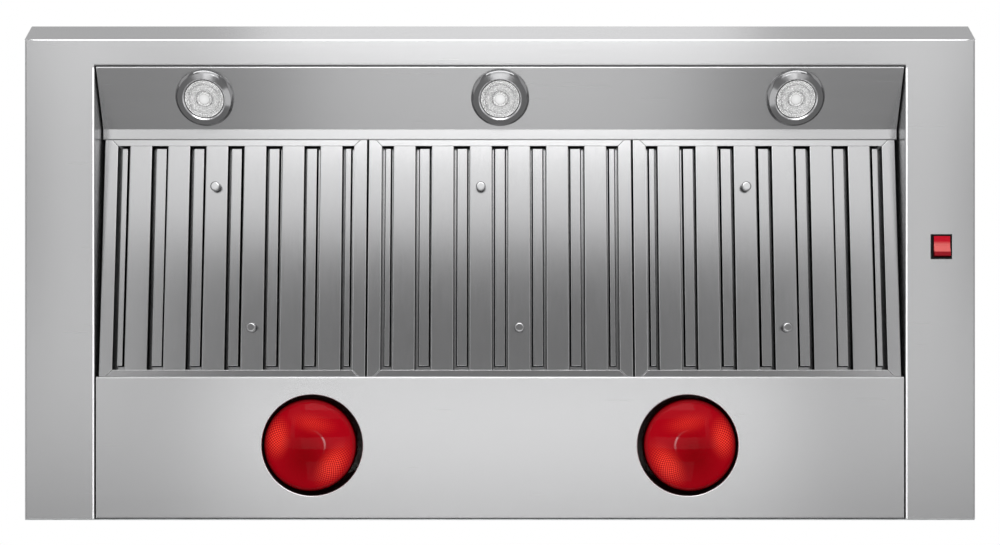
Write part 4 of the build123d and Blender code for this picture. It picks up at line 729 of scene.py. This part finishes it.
def trim_profile(trim):
    """Radius and height points of a light trim, in metres, with the hood's inside up."""
    steep, flat = math.radians(trim.band_steep), math.radians(trim.band_flat)
    low = -(trim.lip_proud - (trim.band_inner - trim.lip_radius) * math.tan(math.radians(trim.face_tilt)))
    bend = (trim.rim_radius - trim.band_inner) / (math.sin(steep) - math.sin(flat))
    points = []
    for index in range(trim.band_steps + 1):
        tilt = flat + (steep - flat) * index / trim.band_steps
        radius = trim.band_inner + bend * (math.sin(tilt) - math.sin(flat))
        points.append((radius, low + bend * (math.cos(flat) - math.cos(tilt))))
    hole = trim.lip_radius - trim.lip_chamfer
    points += [(trim.rim_radius, -trim.seat), (trim.spigot_radius, -trim.seat)]
    points += [(trim.spigot_radius, trim.spigot_reach), (trim.spigot_radius - trim.wall, trim.spigot_reach)]
    points += [(trim.spigot_radius - trim.wall, -trim.step_depth), (trim.flange_radius, -trim.step_depth)]
    points += [(trim.flange_radius, -trim.shelf_depth), (hole, -trim.shelf_depth)]
    points += [(hole, trim.lip_chamfer - trim.lip_proud), (trim.lip_radius, -trim.lip_proud)]
    return points


def make_trim(side, trim, materials):
    """Turned trim ring of one light, whose inner wall round its lens is painted black as a shadow gap."""
    front, tilt = lens_frame(side)
    lift = Matrix.Translation((0, 0, trim.lens_front))
    matrix = Matrix.Translation(front) @ Matrix.Rotation(tilt, 4, "X") @ lift
    form = lathe(trim_profile(trim), trim.turn_steps, matrix)
    hole = trim.lip_radius - trim.lip_chamfer
    axis = (matrix @ Vector((0, 0, 1)) - matrix.translation).normalized()
    for face in form.faces:
        reach = face.calc_center_median() - matrix.translation
        radius = (reach - reach.dot(axis) * axis).length
        outside = reach.dot(axis) < -trim.shelf_depth
        # Painted shade: the inner wall round the lens takes the black material, standing in for the shadow
        # gap.
        if radius < hole + 0.0001:
            face.material_index = 1
        # Painted highlight: the lip takes a brighter copy of the trim's chrome.
        elif radius < trim.lip_radius and outside:
            face.material_index = 2
    piece = make_piece(f"light_trim_{side}", form, "hood", materials)
    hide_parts(f"led_bezel_{side}")


class FinishLights(bpy.types.Operator):
    """Chrome trims, pressed lenses and cast housings of the three lights"""

    bl_idname = "hood.finish_lights"
    bl_label = "Finish lights"

    def execute(self, context):
        """Dresses each light and the driver."""
        lamps = context.scene.hood_lamps
        chrome = turned_metal("Satin Chrome", lamps.chrome_colour, lamps.chrome_roughness)
        # Black for the trim's inner wall: painted shade standing in for the shadow gap round each lens.
        gap = moulded("Painted Shadow Gap Black", (0.006, 0.006, 0.006), 0.8)
        # Brighter copy of the chrome for the lips: a painted highlight ring.
        lip = turned_metal("Bright Lip Chrome", lamps.lip_highlight_colour, 0.22)
        cast = moulded("Cast Aluminium", (0.72, 0.72, 0.73), 0.35, metallic=1.0)
        for side in SIDES:
            make_trim(side, context.scene.hood_trims, (chrome, gap, lip))
            dress(lens_glass(side, lamps), f"led_lens_{side}")
            dress(cast, f"led_housing_{side}")
        dress(moulded("Phosphor", (0.90, 0.80, 0.42), 0.5, coat=0.3), "led_emitters")
        dress(moulded("Driver Plastic", (0.16, 0.17, 0.18), 0.5), "led_driver")
        return {"FINISHED"}


def glow_patch(tree, place, centre, size, turn):
    """Mask of a soft oval patch at a place, with half sizes and a turn about the lamp's axis."""
    sockets = {"Vector": place, "Location": centre, "Rotation": (0.0, 0.0, turn), "Scale": size}
    moved = add(tree, "Mapping", sockets, vector_type="TEXTURE").outputs[0]
    return ramp(tree, vector_maths(tree, "LENGTH", moved), 1.0, 0.0)


STIPPLE_PITCH, STIPPLES_ROUND, STIPPLE_DEPTH = 0.0040, 76.0, 0.00004
STIPPLE_RANGE, FAINT_SHARE = (0.35, 0.65, 0.0, 1.25), 0.45
# Oval patches as across, along, half sizes and turn: the outer, inner and faint ones hold painted reflections
# of the bowl, the dark one darkens the glass.
OUTER_PATCH, INNER_PATCH = (-0.68, -0.16, 0.34, 0.55, 0.12), (0.50, 0.40, 0.36, 0.66, 0.62)
FAINT_PATCH, DARK_PATCH = (0.08, -0.48, 0.62, 0.26, 0.2), (-0.08, 0.22, 0.78, 0.82, 0.0)
RIDGE_PATCH, RIDGE_HALF, RIDGE_GLOSS = (0.26, -0.16, 0.36, 0.42, 0.3), 0.035, 0.8
# RIM_SHADE is painted shade in deep ruby round the rim; RIM_GLOSS is where the coat's gloss comes in.
RIM_SHADE, RIM_GLOSS, RIM_TONE = (0.955, 0.985), (0.90, 0.925), 0.15


def ruby_glass(side, lamps):
    """Ruby reflector glass: painted reflections of the silvered bowl where its prisms catch the light, a
    painted glow, a darker patch and painted shade at the rim.
    """
    centre = middle(f"heat_lamp_bulb_{side}")
    low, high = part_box(f"heat_lamp_bulb_{side}")
    radius = (high[0] - low[0]) / 2
    inward = 1 if side == "left" else -1
    material, tree, shader, place = new_material(
        f"Ruby Glass {side.title()}", Coat_Roughness=0.02, Coat_IOR=1.9, Roughness=0.3,
        Specular_IOR_Level=0.0, Emission_Strength=lamps.ruby_painted_light,
    )
    local = vector_maths(tree, "SUBTRACT", place, (centre.x, centre.y, low[2]))
    pressing = {"Position": local, "Ring Pitch": STIPPLE_PITCH, "Prisms Round": STIPPLES_ROUND}
    prism, reach = use_group(tree, "prisms", pressing)

    def patch(across, along, half_across, half_along, turn):
        """Oval patch at shares of the radius, mirrored on the right lamp."""
        spot = (across * radius * inward, along * radius, 0.0)
        size = (half_across * radius, half_along * radius, 4 * radius)
        return glow_patch(tree, local, spot, size, turn * inward)

    def ring(start, end, out_low=0.0, out_high=1.0):
        """Change of a value between two shares of the radius."""
        return ramp(tree, reach, radius * start, radius * end, out_low, out_high)

    # Painted reflections: the silvered bowl's glints, as glowing red in oval patches broken by the stipple.
    painted_catch = maths(tree, "MAXIMUM", patch(*OUTER_PATCH), patch(*INNER_PATCH))
    painted_catch = maths(tree, "MAXIMUM", painted_catch, times(tree, patch(*FAINT_PATCH), FAINT_SHARE))
    painted_sparkle = times(tree, painted_catch, ramp(tree, prism, *STIPPLE_RANGE))
    # A darker patch of deep ruby, mirrored on the right lamp.
    body = blend(tree, patch(*DARK_PATCH), rgba(lamps.ruby_bright), rgba(lamps.ruby_deep))
    glow = blend(tree, painted_sparkle, body, rgba(lamps.ruby_painted_glow))
    # Painted shade: the rim turns almost black.
    shown = blend(tree, ring(*RIM_SHADE), glow, rgba(lamps.ruby_deep, RIM_TONE))
    off_ridge = maths(tree, "ABSOLUTE", maths(tree, "SUBTRACT", reach, radius * lamps.ridge_place))
    ridge = ramp(tree, off_ridge, 0.0, radius * RIDGE_HALF, 1.0, 0.0)
    worn_ridge = times(tree, times(tree, ridge, patch(*RIDGE_PATCH)), RIDGE_GLOSS)
    gloss = maths(tree, "MAXIMUM", ring(*RIM_GLOSS, lamps.ruby_coat, 1.0), worn_ridge)
    # The painted tones also glow, a painted light for the bowl's reflection.
    link(tree, shader, Coat_Weight=gloss, Base_Color=shown, Emission_Color=shown)
    stippled = times(tree, prism, STIPPLE_DEPTH)
    bump(tree, shader, maths(tree, "MULTIPLY_ADD", ridge, lamps.ridge_height, stippled), 1.0)
    return material


class FinishHeatLamps(bpy.types.Operator):
    """Ruby heat lamps with brass caps, glazed sockets and zinc wells"""

    bl_idname = "hood.finish_heat_lamps"
    bl_label = "Finish heat lamps"

    def execute(self, context):
        """Dresses the bulbs, caps, sockets and wells."""
        scene = context.scene
        # Much darker zinc for the lamp wells.
        well = zinc_sheet("Dark Well Zinc", scene.hood_steel.well_colour, 0.36, scene.hood_steel)
        for side in LAMP_SIDES:
            dress(ruby_glass(side, scene.hood_lamps), f"heat_lamp_bulb_{side}")
            dress(well, f"heat_lamp_well_{side}")
        dress(turned_metal("Brass", (0.78, 0.60, 0.30), 0.22), "heat_lamp_caps")
        dress(moulded("Glazed Porcelain", (0.86, 0.85, 0.82), 0.2, coat=0.8), "heat_lamp_sockets")
        return {"FINISHED"}


ROCKER_EDGE, ROCKER_DEPTH = 0.0006, 0.00002
# Painted highlight across the middle of the rocker and painted shade at its rear end, as shares of its
# length.
HIGHLIGHT_START, HIGHLIGHT_END, SHADED_END, HIGHLIGHT_SHARE = (0.22, 0.42), (0.78, 0.72), (0.70, 0.80), 0.7


def rocker_red(lamps):
    """Red rocker, glossy with a coat in its middle and duller at its ends, with a painted highlight of paler
    red in the middle and painted shade in deeper red at its rear end.
    """
    low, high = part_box("heat_lamp_rocker")
    looks = {"Roughness": 0.3, "Specular_IOR_Level": 0.1, "Coat_Roughness": 0.12}
    material, tree, shader, place = new_material("Rocker Red", **looks)
    along = split_xyz(tree, place)[1]
    share = maths(tree, "DIVIDE", maths(tree, "SUBTRACT", along, low[1]), high[1] - low[1])
    gloss = times(tree, ramp(tree, share, *HIGHLIGHT_START), ramp(tree, share, *HIGHLIGHT_END))
    grit, _ = use_group(tree, "grit", {"Position": place})
    tone = blend(tree, grit, rgba(lamps.rocker_colour, 0.92), rgba(lamps.rocker_colour, 1.08))
    # Painted shade: the rear end turns a deeper red.
    end_shaded = blend(tree, ramp(tree, share, *SHADED_END), tone, rgba(lamps.rocker_colour, 0.5))
    # Painted highlight: the glossy middle turns a paler red.
    highlighted = blend(tree, times(tree, gloss, HIGHLIGHT_SHARE), end_shaded, rgba(lamps.rocker_painted_highlight))
    link(tree, shader, Base_Color=highlighted, Coat_Weight=gloss)
    rounded, _ = use_group(tree, "edge", {"Radius": ROCKER_EDGE})
    bump(tree, shader, grit, ROCKER_DEPTH, rounded)
    return material


class FinishSwitch(bpy.types.Operator):
    """Red rocker in its black bezel"""

    bl_idname = "hood.finish_switch"
    bl_label = "Finish heat lamp switch"

    def execute(self, context):
        """Dresses the switch body and its rocker."""
        black = moulded("Switch Black", (0.004, 0.004, 0.004), 0.35, dusty=0.02)
        black.node_tree.nodes["Principled BSDF"].inputs["Specular IOR Level"].default_value = 0.06
        dress(black, "heat_lamp_switch")
        dress(rocker_red(context.scene.hood_lamps), "heat_lamp_rocker")
        return {"FINISHED"}


class FinishControls(bpy.types.Operator):
    """Push buttons of the front band, their bezel and their board"""

    bl_idname = "hood.finish_controls"
    bl_label = "Finish controls"

    def execute(self, context):
        """Dresses the bezel, the five buttons and the board."""
        dress(moulded("Bezel Black", (0.02, 0.02, 0.021), 0.38), "control_bezel")
        button = turned_metal("Button Steel", (0.80, 0.80, 0.81), 0.2)
        dress(button, *(f"{name}_button" for name in ("off", "low", "medium", "high", "light")))
        dress(moulded("Circuit Board", (0.03, 0.20, 0.08), 0.3, coat=0.4), "control_board")
        return {"FINISHED"}


class FinishBlower(bpy.types.Operator):
    """Blower scroll, wheel, motor and its capacitor"""

    bl_idname = "hood.finish_blower"
    bl_label = "Finish blower"

    def execute(self, context):
        """Dresses the blower's pieces."""
        steel = context.scene.hood_steel
        zinc = zinc_sheet("Blower Zinc", steel.zinc_colour, 0.36, steel)
        shell = ("blower_wrap", "blower_side_left", "blower_side_right")
        dress(zinc, *shell, "blower_impeller", "motor_bracket")
        dress(moulded("Motor Enamel", (0.03, 0.03, 0.033), 0.3, coat=0.5), "motor")
        dress(turned_metal("Shaft Steel", (0.78, 0.78, 0.79), 0.18), "motor_shaft", "damper_pin")
        dress(moulded("Capacitor Plastic", (0.15, 0.16, 0.17), 0.4), "run_capacitor")
        return {"FINISHED"}


def islands(mesh):
    """Lowest and highest corner of each separate lump of a mesh."""
    form = bmesh.new()
    form.from_mesh(mesh)
    bmesh.ops.remove_doubles(form, verts=form.verts, dist=1e-6)
    unseen = set(form.verts)
    boxes = []
    while unseen:
        front = [unseen.pop()]
        lump = []
        while front:
            corner = front.pop()
            lump.append(corner.co.copy())
            linked = {edge.other_vert(corner) for edge in corner.link_edges} & unseen
            unseen -= linked
            front += linked
        boxes.append([Vector(map(pick, zip(*lump))) for pick in (min, max)])
    form.free()
    return sorted(boxes, key=lambda box: tuple(round(value, 4) for value in box[0]))


def add_grid(form, rows):
    """Joins rings of points into a skin, with its first and last ring filled."""
    rings = [[form.verts.new(point) for point in row] for row in rows]
    for here, there in zip(rings, rings[1:]):
        for index in range(len(here)):
            after = (index + 1) % len(here)
            form.faces.new((here[index], here[after], there[after], there[index]))
    form.faces.new(tuple(reversed(rings[0])))
    form.faces.new(tuple(rings[-1]))


HEAD_MIDDLE, DOME_DROP, RECESS_TAPER, THREAD_ROWS = 0.02, 0.55, 0.5, 6


def recess_depth(x, y, screw):
    """Depth of the cross recess at a place on the head."""
    arm = min(abs(x), abs(y))
    reach = max(abs(x), abs(y))
    inside = arm < screw.slot_half and reach < screw.slot_reach
    return screw.slot_depth * (1 - RECESS_TAPER * reach / screw.slot_reach) if inside else 0.0


def add_screw(form, top, screw):
    """Pan head screw with a cross recess and a rolled thread, hanging from the top of its head."""
    steps = screw.turn_steps
    turns = [2 * math.pi * step / steps for step in range(steps)]
    ways = [Vector((math.cos(turn), math.sin(turn), 0.0)) for turn in turns]
    rows = []
    for index in range(screw.head_rings + 1):
        share = index / screw.head_rings
        radius = screw.head_radius * (HEAD_MIDDLE + (1 - HEAD_MIDDLE) * share)
        drop = screw.head_height * DOME_DROP * share ** 4
        rows.append([
            top + way * radius - Vector((0, 0, drop + recess_depth(way.x * radius, way.y * radius, screw)))
            for way in ways
        ])
    under = top - Vector((0, 0, screw.head_height))
    rows.append([under + way * screw.head_radius for way in ways])
    length_steps = math.ceil(screw.shank_length / screw.thread_pitch * THREAD_ROWS)
    for index in range(length_steps + 1):
        down = screw.shank_length * index / length_steps
        row = []
        for turn, way in zip(turns, ways):
            phase = (down / screw.thread_pitch + turn / (2 * math.pi)) % 1.0
            ridge = 1 - abs(2 * phase - 1)
            radius = screw.shank_radius - screw.thread_depth * (1 - ridge)
            row.append(under + way * radius - Vector((0, 0, down)))
        rows.append(row)
    add_grid(form, rows)


def make_screws(material, screw):
    """All pan head screws, each where its plain one sits."""
    form = bmesh.new()
    for low, high in islands(NODES["screws"].data):
        add_screw(form, Vector(((low.x + high.x) / 2, (low.y + high.y) / 2, high.z)), screw)
    bmesh.ops.recalc_face_normals(form, faces=form.faces)
    piece = make_piece("pan_head_screws", form, "hood", (material,))
    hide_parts("screws")


class FinishDuct(bpy.types.Operator):
    """Duct collar, damper flaps, junction box and screws"""

    bl_idname = "hood.finish_duct"
    bl_label = "Finish duct and junction box"

    def execute(self, context):
        """Dresses the zinc coated pieces on and under the top panel."""
        steel = context.scene.hood_steel
        zinc = zinc_sheet("Duct Zinc", steel.zinc_colour, 0.34, steel)
        names = ("duct_collar", "damper_flap_front", "damper_flap_rear", "junction_box", "junction_box_cover")
        dress(zinc, *names)
        make_screws(turned_metal("Screw Zinc", (0.66, 0.66, 0.62), 0.28), context.scene.hood_screws)
        return {"FINISHED"}


FLOOR_GAP, SOFTBOX_LIFT = 0.03, 0.01
OVERHEAD = ((0.0, 0.46, 6.0), (0.0, -0.55, -2.0), (1.5, 1.5))
KEY = ((0.0, -4.2, 1.74), (0.0, -0.61, 0.02), (2.0, 2.0))
SOFTBOXES = (
    ("front_softbox", "front_glow", (0.0, -1.95), (2.76, 2.26), 0.0),
    ("front_softbox_middle", "front_core", (0.0, -1.78), (1.38, 1.26), SOFTBOX_LIFT),
    ("front_strip", "strip_glow", (0.0, -3.45), (5.4, 0.50), 0.0),
    ("rear_softbox", "rear_glow", (0.0, 0.04), (3.04, 0.41), 0.0),
    ("rear_softbox_middle", "rear_core", (0.0, 0.04), (1.52, 0.41), SOFTBOX_LIFT),
    ("far_softbox", "far_glow", (0.0, 1.17), (1.26, 0.94), 0.0),
    ("left_softbox", "side_glow", (-1.105, -0.45), (0.17, 0.84), 0.0),
    ("right_softbox", "side_glow", (1.105, -0.45), (0.17, 0.84), 0.0),
)


def area_light(name, place, target, size, power):
    """Soft lamp at a place, turned to a target, that the camera doesn't see."""
    data = bpy.data.lights.new(name, "AREA")
    data.shape = "RECTANGLE"
    data.size, data.size_y = size
    data.energy = power
    lamp = bpy.data.objects.new(name, data)
    lamp.location = place
    lamp.rotation_euler = (Vector(target) - Vector(place)).to_track_quat("-Z", "Y").to_euler()
    lamp.visible_camera = False
    bpy.context.scene.collection.objects.link(lamp)


def softbox(name, place, target, size, brightness):
    """Flat softbox turned to a target, with the brightness that its cloth shows."""
    area_light(name, place, target, size, brightness * math.pi * size[0] * size[1])


WHITE = (1.0, 1.0, 1.0, 1.0)
MOTTLE, MOTTLE_TONE = {"Grit Scale": 60.0, "Dust Scale": 2.0}, 0.985


def white_surround(level):
    """World that lights softly and shows white to the camera, to metal and through glass."""
    world = bpy.data.worlds.new("Studio")
    world.use_nodes = True
    tree = world.node_tree
    soft = tree.nodes["Background"]
    soft.inputs["Color"].default_value = WHITE
    soft.inputs["Strength"].default_value = level
    shown = add(tree, "Background", {"Color": WHITE, "Strength": 1.0})
    path = add(tree, "LightPath")
    seen = maths(tree, "MAXIMUM", path.outputs["Is Camera Ray"], path.outputs["Is Glossy Ray"])
    seen = maths(tree, "MAXIMUM", seen, path.outputs["Is Transmission Ray"])
    mix = add(tree, "MixShader", {0: seen, 1: soft.outputs[0], 2: shown.outputs[0]})
    link(tree, tree.nodes["World Output"], Surface=mix.outputs[0])
    bpy.context.scene.world = world


def make_floor(level, size, colour):
    """Plain pale floor with a faint mottle, clear from below."""
    mesh = bpy.data.meshes.new("studio_floor")
    grid = bmesh.new()
    bmesh.ops.create_grid(grid, x_segments=8, y_segments=8, size=size / 2)
    grid.to_mesh(mesh)
    grid.free()
    floor = bpy.data.objects.new("studio_floor", mesh)
    floor.location = (0.0, 0.0, level)
    bpy.context.scene.collection.objects.link(floor)
    material, tree, shader, place = new_material("Pale Floor", Roughness=0.7)
    _, dust = use_group(tree, "grit", {"Position": place, **MOTTLE})
    link(tree, shader, Base_Color=blend(tree, dust, rgba(colour), rgba(colour, MOTTLE_TONE)))
    below = add(tree, "NewGeometry").outputs["Backfacing"]
    clear = add(tree, "BsdfTransparent").outputs[0]
    seen = add(tree, "MixShader", {0: below, 1: shader.outputs[0], 2: clear}).outputs[0]
    link(tree, tree.nodes["Material Output"], Surface=seen)
    mesh.materials.append(material)


class BuildStage(bpy.types.Operator):
    """Pale floor, soft lamps, white surround and the camera below the hood"""

    bl_idname = "hood.build_stage"
    bl_label = "Build studio"

    def execute(self, context):
        """Sets up the studio."""
        scene = context.scene
        studio = scene.hood_studio
        make_floor(studio.floor_level, studio.floor_size, studio.floor_colour)
        area_light("overhead_light", *OVERHEAD, studio.overhead_power)
        for name, glow, (across, along), size, lift in SOFTBOXES:
            place = (across, along, studio.floor_level + FLOOR_GAP + lift)
            softbox(name, place, (across, along, 0.0), size, getattr(studio, glow))
        softbox("key_softbox", *KEY, studio.key_glow)
        white_surround(studio.sky_level)
        camera = bpy.data.objects.new("camera", bpy.data.cameras.new("camera"))
        camera.data.lens = studio.camera_lens
        camera.location = studio.camera_place
        camera.rotation_euler = (math.pi, 0.0, 0.0)
        scene.collection.objects.link(camera)
        scene.camera = camera
        scene.view_settings.view_transform = "Standard"
        return {"FINISHED"}


STEPS = (
    FinishCanopy, FinishFilters, FinishLights, FinishHeatLamps, FinishSwitch,
    FinishControls, FinishBlower, FinishDuct, BuildStage,
)


class HoodPanel(bpy.types.Panel):
    """Lists the steps in the order in which they run"""

    bl_idname = "VIEW3D_PT_range_hood"
    bl_label = "Range Hood"
    bl_space_type = "VIEW_3D"
    bl_region_type = "UI"
    bl_category = "Range Hood"

    def draw(self, context):
        """Draws a button for each step."""
        for step in STEPS:
            self.layout.operator(step.bl_idname)


SETTINGS = {
    "hood_steel": SteelSettings,
    "hood_lamps": LampSettings,
    "hood_trims": TrimSettings,
    "hood_screws": ScrewSettings,
    "hood_studio": StudioSettings,
}


def register():
    """Registers the settings, the steps and the panel."""
    for kind in (*SETTINGS.values(), *STEPS, HoodPanel):
        bpy.utils.register_class(kind)
    for label, kind in SETTINGS.items():
        setattr(bpy.types.Scene, label, PointerProperty(type=kind))


def unregister():
    """Takes back what register added."""
    for label in SETTINGS:
        delattr(bpy.types.Scene, label)
    for kind in (HoodPanel, *reversed(STEPS), *SETTINGS.values()):
        bpy.utils.unregister_class(kind)


def main():
    """Runs every step in order."""
    register()
    for step in STEPS:
        family, name = step.bl_idname.split(".")
        getattr(getattr(bpy.ops, family), name)()


if __name__ == "__main__":
    main()
